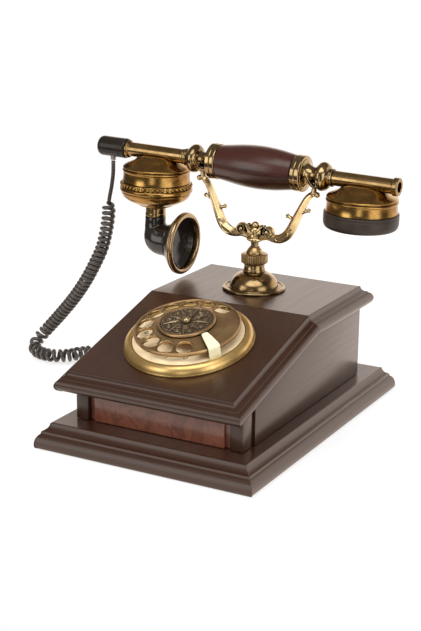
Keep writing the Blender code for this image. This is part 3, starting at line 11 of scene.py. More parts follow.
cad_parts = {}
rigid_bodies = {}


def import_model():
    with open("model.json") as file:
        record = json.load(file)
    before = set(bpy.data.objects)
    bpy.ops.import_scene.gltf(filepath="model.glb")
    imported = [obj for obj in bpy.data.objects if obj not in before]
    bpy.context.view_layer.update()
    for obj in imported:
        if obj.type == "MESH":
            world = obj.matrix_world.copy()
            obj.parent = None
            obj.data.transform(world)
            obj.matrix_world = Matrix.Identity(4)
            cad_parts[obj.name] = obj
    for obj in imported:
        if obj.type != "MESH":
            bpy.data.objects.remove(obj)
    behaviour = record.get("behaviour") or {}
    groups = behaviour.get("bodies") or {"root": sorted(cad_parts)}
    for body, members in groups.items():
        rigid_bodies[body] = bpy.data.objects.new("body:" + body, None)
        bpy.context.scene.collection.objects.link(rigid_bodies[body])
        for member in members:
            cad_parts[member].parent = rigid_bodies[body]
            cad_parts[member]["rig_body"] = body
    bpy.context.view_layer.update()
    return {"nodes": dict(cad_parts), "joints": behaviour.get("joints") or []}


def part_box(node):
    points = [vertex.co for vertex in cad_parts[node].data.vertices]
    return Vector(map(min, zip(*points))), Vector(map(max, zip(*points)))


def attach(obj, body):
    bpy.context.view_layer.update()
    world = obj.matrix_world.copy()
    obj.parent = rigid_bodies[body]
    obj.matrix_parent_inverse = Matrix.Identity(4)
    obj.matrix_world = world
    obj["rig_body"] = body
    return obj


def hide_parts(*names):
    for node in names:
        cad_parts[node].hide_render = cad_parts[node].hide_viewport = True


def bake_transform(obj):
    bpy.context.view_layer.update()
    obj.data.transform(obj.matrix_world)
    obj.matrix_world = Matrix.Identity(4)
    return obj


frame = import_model()
MM = 0.001

# Shared places, in metres
JOINTS = {joint["name"]: joint for joint in frame["joints"]}
HANDSET_AXIS = 0.0545
CRADLE_AT = (-0.0015, 0.0450)
STEM_TOP = 0.1222
CRADLE_LEAN = math.radians(1.6)
TRANSMITTER_AT = 0.0845
RECEIVER_AT = 0.0820
GLAND_AT = 0.1229
SOCKET_WALL_X = -0.0652
ELBOW_RADIUS = 0.0078
ELBOW_END_RADIUS = 0.0120
ELBOW_DROP = 0.0658
ELBOW_CORNER = 0.0009
ELBOW_REACH = 0.0125
ELBOW_EASE = 0.0003
DIAL_PIVOT = Vector(JOINTS["dial_turn"]["pos_m"])
DIAL_NORMAL = -Vector(JOINTS["dial_turn"]["axis"])
SLOPE_ANGLE = math.atan2(-DIAL_NORMAL.y, DIAL_NORMAL.z)

WORLD = Matrix.Identity(4)
DIAL = Matrix.Translation(DIAL_PIVOT) @ Matrix.Rotation(SLOPE_ANGLE, 4, "X")
CRADLE = Matrix.Translation((*CRADLE_AT, 0))
HEAD = Matrix.Translation((*CRADLE_AT, STEM_TOP)) @ Matrix.Rotation(CRADLE_LEAN, 4, "Y")
AXIS = HEAD @ Matrix.Translation((0, 0, HANDSET_AXIS))
Z_TO_RIGHT = Matrix.Rotation(math.pi / 2, 4, "Y")
Z_TO_LEFT = Matrix.Rotation(-math.pi / 2, 4, "Y")
TO_RIGHT = AXIS @ Z_TO_RIGHT
TO_LEFT = AXIS @ Z_TO_LEFT
TRANSMITTER = AXIS @ Matrix.Translation((-TRANSMITTER_AT, 0, 0))
RECEIVER = AXIS @ Matrix.Translation((RECEIVER_AT, 0, 0))
MOUTH = AXIS @ Matrix.Translation((ELBOW_REACH + ELBOW_EASE - TRANSMITTER_AT, 0, -ELBOW_DROP)) @ Z_TO_RIGHT

# Cord. Its route is the CAD's, with y measured from the back of the case. The curls are drawn a little
# tighter than the CAD's, so that they stay inside its box.
CASE_REAR_Y = 0.0890
CORD_DIAMETER = 0.0031
CORD_SIDES = 12
CURL_RADIUS = 0.0043
DRAWN_CURL_RADIUS = 0.0039
HUNG_PITCH = 0.0044
LAID_PITCH = 0.0040
CURL_GAP = 0.0009
TIGHTEST_BEND = 0.0100
BEND_WINDOW = 25
POINTS_PER_CURL = 24
POINTS_PER_SPAN = 24
POINTS_BEFORE, POINTS_AFTER = 14, 36
CURL_LEAD = 0.0030
CURLS_FROM = 0.0330
CURLS_BEFORE_END = 0.0980
CORD_ROUTE = (
    (-0.1231, -0.0440, 0.1693), (-0.1234, -0.0440, 0.1590), (-0.1250, -0.0440, 0.1485),
    (-0.1272, -0.0440, 0.1382), (-0.1279, -0.0440, 0.1264), (-0.1303, -0.0440, 0.1129),
    (-0.1345, -0.0438, 0.0992), (-0.1423, -0.0430, 0.0845), (-0.1523, -0.0412, 0.0691),
    (-0.1655, -0.0380, 0.0528), (-0.1818, -0.0345, 0.0354), (-0.1900, -0.0335, 0.0269),
    (-0.1975, -0.0342, 0.0185), (-0.2015, -0.0373, 0.0128), (-0.2013, -0.0423, 0.0091),
    (-0.1975, -0.0470, 0.0072), (-0.1918, -0.0500, 0.0065), (-0.1853, -0.0514, 0.0064),
    (-0.1793, -0.0514, 0.0064), (-0.1737, -0.0496, 0.0064), (-0.1692, -0.0463, 0.0064),
    (-0.1651, -0.0409, 0.0064), (-0.1622, -0.0344, 0.0064), (-0.1548, -0.0258, 0.0064),
    (-0.1480, -0.0190, 0.0064), (-0.1395, -0.0145, 0.0064), (-0.1305, -0.0120, 0.0064),
    (-0.1210, -0.0108, 0.0070), (-0.1110, -0.0108, 0.0110), (-0.1015, -0.0110, 0.0180),
    (-0.0925, -0.0110, 0.0255), (-0.0825, -0.0110, 0.0322), (-0.0750, -0.0110, 0.0345),
    (-0.0695, -0.0110, 0.0345),
)


# Objects

def linked(name, data, place=WORLD):
    """A new object in the scene."""
    made = bpy.data.objects.new(name, data)
    bpy.context.collection.objects.link(made)
    made.matrix_world = place
    return made


def mesh_of(name, bm):
    """The mesh of a finished bmesh, which is freed."""
    mesh = bpy.data.meshes.new(name)
    bm.to_mesh(mesh)
    bm.free()
    return mesh


# Camera, light and floor

CAMERA_AT = (0.4637, -0.8766, 0.3734)
CAMERA_AXES = ((0.8768, 0.4807, 0.0107), (-0.1467, 0.2464, 0.958), (0.4578, -0.8416, 0.2866))
LENS_MM, SENSOR_MM, CLIP_START = 82.85, 36, 0.01

# The studio as reflections see it. Bearings run from the front towards the right and heights up from the
# horizon, in degrees. A window is its two bearings, its two heights and its level.
WINDOWS = (
    ((8, 22), (-40, 8), 1.60),
    ((48, 84), (-40, 26), 2.10),
    ((-41, -14), (-6, 28), 2.40),
    ((-24, 74), (38, 76), 2.60),
)
SIDE_SOFTNESS, TOP_SOFTNESS = 5.0, 6.0
BACKDROP_LEVEL = 1.42
BACKDROP_SIDES = (46.0, 74.0)
BACKDROP_TOP = (20.0, 34.0)
ROOM_HEIGHTS = (-10.0, 50.0)
ROOM_LEVELS = (0.11, 0.22)
WHITE = (1.0, 1.0, 1.0)
WARM_WHITE = (1.0, 0.885, 0.80)
WINDOW_WHITE = (1.0, 0.97, 0.92)
MATT_ROOM = (0.42, 0.41, 0.40)

# Each lamp's place, aim, width and height, and power
LAMPS = {
    "key": ((-0.55, -1.05, 1.05), (0, 0, 0.08), (0.9, 0.7), 15),
    "fill": ((1.15, -0.55, 0.75), (0, 0, 0.08), (0.7, 0.7), 9.5),
    "top": ((0.1, 0.5, 1.25), (0, 0, 0.05), (0.9, 0.6), 6),
}
TABLE_X, TABLE_Y, TABLE_Z = (-0.60, 0.50), (-0.21, 0.90), -0.0003
TABLE_BOUNCE = (0.75, 0.75, 0.75)
TABLE_SHADE = (0.34, 0.34, 0.34)
TABLE_GLOW = 0.72
GLOW_IN_GLOSS = (1.25, 1.03, 0.88)


def make_camera():
    data = bpy.data.cameras.new("camera")
    data.lens = LENS_MM
    data.sensor_width = SENSOR_MM
    data.clip_start = CLIP_START
    place = Matrix.Translation(CAMERA_AT) @ Matrix(CAMERA_AXES).transposed().to_4x4()
    bpy.context.scene.camera = linked("camera", data, place)


class Nodes:
    """A node tree under construction."""

    def __init__(self, tree):
        self.tree = tree

    def add(self, kind, **settings):
        made = self.tree.nodes.new(kind)
        for key, value in settings.items():
            setattr(made, key, value)
        return made

    def feed(self, socket, value):
        if isinstance(value, bpy.types.NodeSocket):
            self.tree.links.new(value, socket)
        elif isinstance(value, tuple) and len(value) == 3 and socket.type == "RGBA":
            socket.default_value = (*value, 1)
        else:
            socket.default_value = value

    def feed_all(self, sockets, values):
        for socket, value in zip(sockets, values):
            self.feed(socket, value)

    def math(self, operation, *values):
        made = self.add("ShaderNodeMath", operation=operation)
        self.feed_all(made.inputs, values)
        return made.outputs[0]

    def times(self, a, b):
        return self.math("MULTIPLY", a, b)

    def larger(self, a, b):
        return self.math("MAXIMUM", a, b)

    def weighted(self, a, share_a, b, share_b):
        return self.math("ADD", self.times(a, share_a), self.times(b, share_b))

    def remap(self, value, low, high, to_low=0.0, to_high=1.0, smooth=False):
        made = self.add("ShaderNodeMapRange", interpolation_type="SMOOTHSTEP" if smooth else "LINEAR")
        self.feed_all(made.inputs, (value, low, high, to_low, to_high))
        return made.outputs[0]

    def gate(self, value, low, high, soft):
        """1 between two limits, 0 outside, with soft edges."""
        rising = self.remap(value, low - soft, low + soft, smooth=True)
        falling = self.remap(value, high - soft, high + soft, 1.0, 0.0, smooth=True)
        return self.times(rising, falling)

    def mix(self, share, a, b):
        made = self.add("ShaderNodeMix", data_type="RGBA")
        self.feed_all((made.inputs["Factor"], made.inputs[6], made.inputs[7]), (share, a, b))
        return made.outputs[2]

    def scaled(self, vector, scale):
        made = self.add("ShaderNodeMapping")
        self.feed(made.inputs["Vector"], vector)
        made.inputs["Scale"].default_value = scale
        return made.outputs[0]

    def noise(self, vector, scale, detail, roughness=0.5, distortion=0.0):
        made = self.add("ShaderNodeTexNoise")
        self.feed(made.inputs["Vector"], vector)
        keys = ("Scale", "Detail", "Roughness", "Distortion")
        self.feed_all([made.inputs[key] for key in keys], (scale, detail, roughness, distortion))
        return made.outputs["Fac"]

    def ramp(self, value, stops):
        made = self.add("ShaderNodeValToRGB")
        self.feed(made.inputs["Fac"], value)
        elements = made.color_ramp.elements
        while len(elements) < len(stops):
            elements.new(0.5)
        for element, (place, colour) in zip(elements, stops):
            element.position = place
            element.color = (*colour, 1)
        return made.outputs["Color"]

    def bump(self, height, strength, distance, normal=None):
        made = self.add("ShaderNodeBump")
        made.inputs["Strength"].default_value = strength
        made.inputs["Distance"].default_value = distance
        self.feed(made.inputs["Height"], height)
        if normal is not None:
            self.feed(made.inputs["Normal"], normal)
        return made.outputs["Normal"]


def make_world():
    """White backdrop for the camera. Reflections see it too, low behind the object, with a dim room
    in front and overhead and a few soft windows of light."""
    world = bpy.data.worlds.new("studio")
    world.use_nodes = True
    nodes = Nodes(world.node_tree)
    background = world.node_tree.nodes["Background"]
    split = nodes.add("ShaderNodeSeparateXYZ")
    nodes.feed(split.inputs[0], nodes.add("ShaderNodeTexCoord").outputs["Generated"])
    x, y, z = split.outputs
    degrees = 180 / math.pi
    bearing = nodes.times(nodes.math("ARCTAN2", x, nodes.times(y, -1.0)), degrees)
    height = nodes.times(nodes.math("ARCSINE", z), degrees)
    away = nodes.math("ABSOLUTE", nodes.math("SUBTRACT", nodes.math("ABSOLUTE", bearing), 180.0))
    behind = nodes.times(
        nodes.remap(away, *BACKDROP_SIDES, BACKDROP_LEVEL, 0.0, smooth=True),
        nodes.remap(height, *BACKDROP_TOP, 1.0, 0.0, smooth=True))
    level = nodes.larger(behind, nodes.remap(height, *ROOM_HEIGHTS, *ROOM_LEVELS))
    panes = 0.0
    for bearings, heights, strength in WINDOWS:
        window = nodes.times(
            nodes.gate(bearing, *bearings, SIDE_SOFTNESS), nodes.gate(height, *heights, TOP_SOFTNESS))
        level = nodes.larger(level, nodes.times(window, strength))
        panes = nodes.larger(panes, window)
    path = nodes.add("ShaderNodeLightPath")
    tinted = nodes.add("ShaderNodeVectorMath", operation="SCALE")
    nodes.feed(tinted.inputs[0], nodes.mix(panes, WARM_WHITE, WINDOW_WHITE))
    nodes.feed(tinted.inputs["Scale"], level)
    plain = nodes.mix(path.outputs["Is Diffuse Ray"], tinted.outputs[0], MATT_ROOM)
    nodes.feed(background.inputs["Color"], nodes.mix(path.outputs["Is Camera Ray"], plain, WHITE))
    background.inputs["Strength"].default_value = 1.0
    bpy.context.scene.world = world


def make_lamps():
    for name, (at, aim, (width, height), power) in LAMPS.items():
        data = bpy.data.lights.new(name, "AREA")
        data.shape = "RECTANGLE"
        data.size = width
        data.size_y = height
        data.energy = power
        lamp = linked(name, data)
        lamp.location = at
        lamp.rotation_euler = (Vector(aim) - Vector(at)).to_track_quat("-Z", "Y").to_euler()
        lamp.visible_glossy = False


def make_floor():
    """A white table top whose own colour shows as white, with a soft shadow kept on it."""
    bm = bmesh.new()
    corners = ((0, 0), (1, 0), (1, 1), (0, 1))
    bm.faces.new([bm.verts.new((TABLE_X[i], TABLE_Y[j], TABLE_Z)) for i, j in corners])
    mesh = mesh_of("table_top", bm)
    look = bpy.data.materials.new("white_table")
    look.use_nodes = True
    nodes = Nodes(look.node_tree)
    look.node_tree.nodes.remove(look.node_tree.nodes["Principled BSDF"])
    output = look.node_tree.nodes["Material Output"]
    path = nodes.add("ShaderNodeLightPath").outputs
    bounce = nodes.add("ShaderNodeBsdfDiffuse")
    nodes.feed(bounce.inputs["Color"], TABLE_BOUNCE)
    shade = nodes.add("ShaderNodeBsdfDiffuse")
    nodes.feed(shade.inputs["Color"], TABLE_SHADE)
    glow = nodes.add("ShaderNodeEmission")
    glow.inputs["Strength"].default_value = TABLE_GLOW
    nodes.feed(glow.inputs["Color"], nodes.mix(path["Is Glossy Ray"], WHITE, GLOW_IN_GLOSS))
    shown = nodes.add("ShaderNodeAddShader")
    nodes.feed_all(shown.inputs, (shade.outputs[0], glow.outputs[0]))
    seen = nodes.larger(path["Is Camera Ray"], path["Is Glossy Ray"])
    seen = nodes.larger(seen, path["Is Transmission Ray"])
    chosen = nodes.add("ShaderNodeMixShader")
    nodes.feed_all(chosen.inputs, (seen, bounce.outputs[0], shown.outputs[0]))
    nodes.feed(output.inputs["Surface"], chosen.outputs[0])
    mesh.materials.append(look)
    linked("table_top", mesh)


# Materials. Grain is given as its waves per metre along x, y and z, and depths and reaches are in metres.

SCRATCH_DEPTH = 0.0001
OCCLUSION_SAMPLES = 4
# How far the painted shade on the plate and on the wheel reaches, by ambient occlusion
PLATE_SHADE_REACH, WHEEL_SHADE_REACH = 0.009, 0.006


class Look(Nodes):
    """A procedural material under construction."""

    def __init__(self, name, **constants):
        self.material = bpy.data.materials.new(name)
        self.material.use_nodes = True
        super().__init__(self.material.node_tree)
        self.shader = self.tree.nodes["Principled BSDF"]
        self.place = self.add("ShaderNodeTexCoord").outputs["Object"]
        for key, value in constants.items():
            self.feed(self.shader.inputs[key.replace("_", " ")], value)

    def grain(self, waves, detail, roughness=0.5, distortion=0.0):
        return self.noise(self.scaled(self.place, waves), 1.0, detail, roughness, distortion)

    def hollows(self, reach, deep, clear, amount=1.0):
        """The amount in hollows, down to 0 on open surface."""
        made = self.add("ShaderNodeAmbientOcclusion", samples=OCCLUSION_SAMPLES)
        made.inputs["Distance"].default_value = reach
        return self.remap(made.outputs["AO"], deep, clear, amount, 0.0)

    def spread(self, noise, low, high):
        """Noise spread over a range of roughness."""
        return self.remap(noise, 0.3, 0.7, low, high)

    def finish(self, colour, roughness, normal):
        self.feed_all([self.shader.inputs[key] for key in ("Base Color", "Roughness", "Normal")],
                      (colour, roughness, normal))
        return self.material


def wood(name, along, dark, light, deep):
    """Straight-grained lacquered wood with its fibres along one axis."""
    look = Look(name, IOR=1.5, Specular_IOR_Level=0.12, Coat_Weight=1.0, Coat_Roughness=0.27, Coat_IOR=1.48)

    def stretched(across, lengthways):
        return tuple(lengthways if axis == along else across for axis in range(3))

    bands = look.grain(stretched(95, 5), 3, 0.55, 0.6)
    fibres = look.grain(stretched(620, 14), 5, 0.62, 0.2)
    pores = look.remap(look.grain(stretched(1500, 45), 2), 0.60, 0.70)
    tone = look.weighted(bands, 0.55, fibres, 0.45)
    colour = look.ramp(tone, ((0.34, dark), (0.50, light), (0.66, dark)))
    colour = look.mix(look.times(pores, 0.4), colour, deep)
    relief = look.math("SUBTRACT", fibres, look.times(pores, 0.6))
    return look.finish(colour, look.spread(fibres, 0.35, 0.48), look.bump(relief, 0.05, 0.0003))


def burl(name):
    """Figured reddish veneer."""
    look = Look(name, IOR=1.5, Coat_Weight=0.7, Coat_Roughness=0.16, Coat_IOR=1.5)
    swirl = look.grain((55, 55, 38), 5, 0.6, 2.2)
    fine = look.grain((420, 420, 140), 4, 0.6, 0.8)
    tone = look.weighted(swirl, 0.68, fine, 0.32)
    colour = look.ramp(tone, (
        (0.34, (0.090, 0.027, 0.015)), (0.46, (0.145, 0.046, 0.026)), (0.56, (0.215, 0.073, 0.040)),
        (0.68, (0.120, 0.038, 0.021))))
    return look.finish(colour, look.spread(fine, 0.30, 0.42), look.bump(tone, 0.08, 0.0003))


def grip_wood(name):
    """Dark red turned wood, its grain along the handset."""
    look = Look(name, IOR=1.5, Coat_Weight=0.7, Coat_Roughness=0.20, Coat_IOR=1.45)
    bands = look.grain((14, 150, 150), 4, 0.6, 0.5)
    fibres = look.grain((40, 1100, 1100), 4, 0.6)
    colour = look.ramp(look.weighted(bands, 0.6, fibres, 0.4), (
        (0.36, (0.010, 0.0022, 0.0011)), (0.52, (0.040, 0.0062, 0.0024)), (0.66, (0.017, 0.0034, 0.0016))))
    return look.finish(colour, look.spread(fibres, 0.34, 0.44), look.bump(fibres, 0.06, 0.0002))


def brass(name, bright, dull, roughness, turned=0.0, dark=(0.030, 0.016, 0.008), patina_and_shade=1.0, reach=0.002,
          hollows=(0.30, 0.92), metal=1.0):
    """Antique brass: uneven tone, fine scratches, and dark brown in the hollows, part patina and part painted
    shade.
    """
    look = Look(name, Metallic=metal)
    cloud = look.grain((90, 90, 90), 4, 0.6, 0.4)
    colour = look.mix(look.remap(cloud, 0.38, 0.62), dull, bright)
    # Patina and painted shade: the dark colour wherever ambient occlusion finds hollows.
    colour = look.mix(look.hollows(reach, *hollows, patina_and_shade), colour, dark)
    normal = look.bump(look.grain((2400, 2400, 300), 2), 0.05, SCRATCH_DEPTH)
    if turned:
        rings = look.noise(look.scaled(look.place, (0, 0, 1)), 5200, 2, 0.6)
        normal = look.bump(rings, turned, SCRATCH_DEPTH, normal)
    return look.finish(colour, look.spread(cloud, roughness + 0.05, roughness - 0.04), normal)


def wheel_brass(name):
    """Brass brushed in rings about the dial's axis, with painted shade in the hollows round the finger holes.
    """
    look = Look(name, Metallic=0.92, Anisotropic=0.55)
    around = look.add("ShaderNodeTangent", direction_type="RADIAL", axis="Z")
    look.feed(look.shader.inputs["Tangent"], around.outputs[0])
    radius = look.add("ShaderNodeVectorMath", operation="LENGTH")
    look.feed(radius.inputs[0], look.scaled(look.place, (1, 1, 0)))
    across = look.add("ShaderNodeCombineXYZ")
    look.feed(across.inputs[0], radius.outputs["Value"])
    rings = look.noise(across.outputs[0], 5200, 3, 0.7)
    broad = look.noise(across.outputs[0], 420, 2)
    cloud = look.grain((60, 60, 60), 3)
    colour = look.mix(look.remap(cloud, 0.35, 0.65), (0.440, 0.280, 0.135), (0.660, 0.440, 0.220))
    colour = look.mix(look.remap(broad, 0.35, 0.65, 0.0, 0.35), colour, (0.330, 0.195, 0.090))
    # Painted shade: dark brown where ambient occlusion finds the finger holes.
    colour = look.mix(look.hollows(WHEEL_SHADE_REACH, 0.40, 0.97), colour, (0.030, 0.014, 0.006))
    return look.finish(colour, look.spread(rings, 0.26, 0.38), look.bump(rings, 0.10, SCRATCH_DEPTH))


def plastic(name, colour, roughness, speck=0.0, coat=0.0, painted_shade=None, specular=0.5):
    """Moulded or lacquered plastic with a faint uneven skin. Where a shade colour is given, it is painted
    into the hollows as shade."""
    look = Look(name, IOR=1.5, Specular_IOR_Level=specular, Coat_Weight=coat, Coat_Roughness=0.08)
    skin = look.grain((700, 700, 700), 3, 0.6)
    cloud = look.grain((80, 80, 80), 3)
    worn = tuple(min(1.0, value * 1.18 + 0.003) for value in colour)
    mixed = look.mix(look.remap(cloud, 0.35, 0.65), colour, worn)
    # Painted shade: the shade colour wherever ambient occlusion finds hollows.
    if painted_shade:
        mixed = look.mix(look.hollows(PLATE_SHADE_REACH, 0.12, 0.62), mixed, painted_shade)
    rough = look.spread(cloud, roughness - 0.03, roughness + 0.05)
    return look.finish(mixed, rough, look.bump(skin, 0.03 + speck, SCRATCH_DEPTH))


def steel(name):
    look = Look(name, Metallic=1.0)
    cloud = look.grain((300, 300, 1500), 3, 0.6)
    colour = look.mix(look.remap(cloud, 0.35, 0.65), (0.429, 0.429, 0.4212), (0.55, 0.55, 0.54))
    return look.finish(colour, look.spread(cloud, 0.29, 0.42), look.bump(cloud, 0.06, SCRATCH_DEPTH))


def felt(name):
    look = Look(name, Sheen_Weight=0.4, Sheen_Roughness=0.5)
    fibres = look.grain((2200, 2200, 2200), 4, 0.7, 1.2)
    colour = look.ramp(fibres, ((0.3, (0.012, 0.026, 0.016)), (0.7, (0.034, 0.058, 0.036))))
    return look.finish(colour, 0.95, look.bump(fibres, 0.5, 0.0004))


def windings(name):
    """Copper wire wound side by side."""
    look = Look(name, Metallic=1.0)
    wave = look.add("ShaderNodeTexWave", bands_direction="X")
    look.feed(wave.inputs["Vector"], look.place)
    wave.inputs["Scale"].default_value = 420
    wires = wave.outputs["Fac"]
    colour = look.ramp(wires, ((0.1, (0.20, 0.06, 0.02)), (0.8, (0.62, 0.27, 0.12))))
    return look.finish(colour, 0.35, look.bump(wires, 0.6, 0.0003))


def circuit_green(name):
    look = Look(name, IOR=1.5)
    cells = look.add("ShaderNodeTexVoronoi", distance="MANHATTAN")
    look.feed(cells.inputs["Vector"], look.scaled(look.place, (260, 260, 20)))
    cells.inputs["Scale"].default_value = 1.0
    tracks = look.remap(cells.outputs["Distance"], 0.42, 0.46)
    colour = look.mix(tracks, (0.012, 0.085, 0.035), (0.02, 0.14, 0.06))
    return look.finish(colour, 0.42, look.bump(tracks, 0.2, SCRATCH_DEPTH))


# Dark and light bands and deep pores
ESPRESSO = ((0.024, 0.0088, 0.0042), (0.032, 0.0122, 0.0060), (0.012, 0.0046, 0.0027))

# Bright and dull tones, roughness, and what differs from a plain casting
BRASSES = {
    "housing": ((0.44, 0.265, 0.082), (0.30, 0.165, 0.046), 0.22, {"turned": 0.10, "patina_and_shade": 0.8}),
    "tube": ((0.42, 0.285, 0.130), (0.28, 0.180, 0.075), 0.18, {"turned": 0.06, "patina_and_shade": 0.8}),
    "knuckle": ((0.44, 0.325, 0.175), (0.25, 0.175, 0.085), 0.13, {"turned": 0.04, "reach": 0.004}),
    "fork": ((0.88, 0.71, 0.41), (0.68, 0.51, 0.26), 0.20,
             {"dark": (0.030, 0.015, 0.007), "reach": 0.0050, "hollows": (0.45, 0.93)}),
    "bezel": ((0.84, 0.59, 0.24), (0.70, 0.47, 0.17), 0.32, {"patina_and_shade": 0.5, "metal": 0.92}),
    "relief": ((0.40, 0.31, 0.19), (0.21, 0.155, 0.095), 0.30,
               {"dark": (0.045, 0.030, 0.018), "patina_and_shade": 0.85, "reach": 0.0016, "metal": 0.8}),
    "rim": ((0.46, 0.34, 0.20), (0.30, 0.205, 0.115), 0.20, {"reach": 0.0016, "hollows": (0.45, 0.95)}),
    "dome": ((0.46, 0.34, 0.175), (0.27, 0.18, 0.080), 0.18, {"turned": 0.08, "reach": 0.004}),
    "nut": ((0.56, 0.40, 0.20), (0.42, 0.29, 0.14), 0.28, {"reach": 0.0010, "hollows": (0.45, 0.95)}),
    # The hole lips get painted shade where they sit down in the finger holes.
    "lip": ((0.72, 0.54, 0.29), (0.56, 0.40, 0.20), 0.22,
            {"patina_and_shade": 0.9, "reach": 0.0035, "hollows": (0.30, 0.85)}),
}

# Material name, colour, roughness, and what differs from a plain moulding
PLASTICS = {
    # recess: near-black for the centre disc's floor, painted shade round the relief.
    "recess": ("recess_black", (0.050, 0.032, 0.020), 0.5, {"speck": 0.1}),
    "gloss": ("gloss_black", (0.010, 0.008, 0.007), 0.13, {"coat": 0.25}),
    "cap": ("cap_black", (0.012, 0.009, 0.0065), 0.24, {"specular": 0.28}),
    "satin": ("satin_black", (0.027, 0.019, 0.014), 0.42, {"speck": 0.05, "specular": 0.35}),
    "cord": ("cord_black", (0.046, 0.039, 0.034), 0.30, {"coat": 0.4}),
    # The cream plate gets painted shade under the wheel and inside the finger holes.
    "cream": ("plate_cream", (0.92, 0.71, 0.45), 0.40, {"painted_shade": (0.36, 0.19, 0.09)}),
    "ink": ("number_ink", (0.020, 0.016, 0.014), 0.5, {}),
    "ivory": ("stop_ivory", (0.88, 0.79, 0.52), 0.38, {}),
}
LOOKS = {}


def make_looks():
    for along, axis in enumerate("xyz"):
        LOOKS[f"wood_{axis}"] = wood(f"espresso_wood_{axis}", along, *ESPRESSO)
    for key, (bright, dull, roughness, more) in BRASSES.items():
        LOOKS[key] = brass(f"{key}_brass", bright, dull, roughness, **more)
    for key, (name, colour, roughness, more) in PLASTICS.items():
        LOOKS[key] = plastic(name, colour, roughness, **more)
    LOOKS.update(
        burl=burl("burl_veneer"), grip=grip_wood("grip_wood"), wheel=wheel_brass("wheel_brass"),
        steel=steel("plain_steel"), felt=felt("base_felt_look"), board=circuit_green("board_look"),
        copper=windings("copper_windings"))


# Mesh helpers. Profiles and points below are in millimetres, and a profile is (radius, height).

SHARP = 38
NOTHING = 1e-5
DOME_ANGLES = (math.radians(30), math.radians(60))
DOME_RISE = 0.9


def polar(radius, angle, *height):
    """A point at an angle about Z."""
    return (radius * math.cos(angle), radius * math.sin(angle), *height)


def arc(centre, size, start, end, steps):
    """Points on an arc with its own radius each way, angles in degrees."""
    made = []
    for i in range(steps + 1):
        x, y = polar(1, math.radians(start + (end - start) * i / steps))
        made.append((centre[0] + size[0] * x, centre[1] + size[1] * y))
    return made


def rounded(points, default, steps):
    """A profile with each inner corner rounded by its own radius, a third value, or by the default."""
    made = [points[0][:2]]
    for before, here, after in zip(points, points[1:], points[2:]):
        size = here[2] if len(here) > 2 else default
        corner = Vector(here[:2])
        back, on = Vector(before[:2]) - corner, Vector(after[:2]) - corner
        reach = min(size, back.length * 0.48, on.length * 0.48)
        start, end = corner + back.normalized() * reach, corner + on.normalized() * reach
        for i in range(steps + 1):
            t = i / steps
            made.append(tuple((1 - t) ** 2 * start + 2 * t * (1 - t) * corner + t * t * end))
    made.append(points[-1][:2])
    return made


def closed(profile):
    """A profile brought back to its start, which spin turns into a ring."""
    return profile + profile[:1]


def smooth(given, per_span):
    """Points on a smooth curve through vectors or arrays, up to the last of them."""
    padded = [2 * given[0] - given[1], *given, 2 * given[-1] - given[-2]]
    made = []
    for a, b, c, d in zip(padded, padded[1:], padded[2:], padded[3:]):
        for i in range(per_span):
            t = i / per_span
            made.append(0.5 * (
                2 * b + (c - a) * t + (2 * a - 5 * b + 4 * c - d) * t * t + (3 * b - a - 3 * c + d) * t ** 3))
    made.append(given[-1])
    return made


def flowing(points, per_span):
    """A smooth curve through profile points."""
    return [tuple(point) for point in smooth([Vector(point) for point in points], per_span)]


def smooth_line(points, per_span):
    """A smooth line through points of any size, such as (x, y, z, radius)."""
    return np.array(smooth(np.array(points, float), per_span))


def supported(points, margin=0.25):
    """Extra rings near the ends of long straight stretches keep their shading flat."""
    made = [points[0]]
    for a, b in zip(points, points[1:]):
        span = Vector(b) - Vector(a)
        if span.length > 4 * margin:
            step = span.normalized() * margin
            made += [tuple(Vector(a) + step), tuple(Vector(b) - step)]
        made.append(b)
    return made


def skin(bm, rows, closing=False):
    """Faces between rings of vertices, where a ring of one vertex is a tip."""
    for a, b in zip(rows, rows[1:] + rows[:1] if closing else rows[1:]):
        count = max(len(a), len(b))
        for i in range(count if len(a) + len(b) > 2 else 0):
            j = (i + 1) % count
            if len(a) == 1:
                bm.faces.new((a[0], b[j], b[i]))
            elif len(b) == 1:
                bm.faces.new((a[i], a[j], b[0]))
            else:
                bm.faces.new((a[i], a[j], b[j], b[i]))


def cap(bm, rows):
    """Flat ends on a skin that isn't closed."""
    bm.faces.new(rows[0])
    bm.faces.new(rows[-1][::-1])


def spin(bm, profile, steps, ripple=None):
    """Turns a profile about Z. A profile that ends where it starts makes a ring."""
    closing = (Vector(profile[0]) - Vector(profile[-1])).length < NOTHING
    rings = []
    for radius, height in (profile[:-1] if closing else profile):
        if radius < NOTHING:
            rings.append([bm.verts.new((0, 0, height * MM))])
            continue
        ring = []
        for i in range(steps):
            angle = math.tau * i / steps
            out = radius + (ripple(angle, radius, height) if ripple else 0.0)
            ring.append(bm.verts.new(Vector(polar(out, angle, height)) * MM))
        rings.append(ring)
    skin(bm, rings, closing)


def transported(points):
    """Points as vectors, with the line's direction at each and a side that turns as little as it can."""
    points = [Vector(point) for point in points]
    last = len(points) - 1
    tangents = [(points[min(i + 1, last)] - points[max(i - 1, 0)]).normalized() for i in range(last + 1)]
    side = tangents[0].orthogonal().normalized()
    sides = []
    for tangent in tangents:
        side = (side - tangent * side.dot(tangent)).normalized()
        sides.append(side.copy())
    return points, tangents, sides


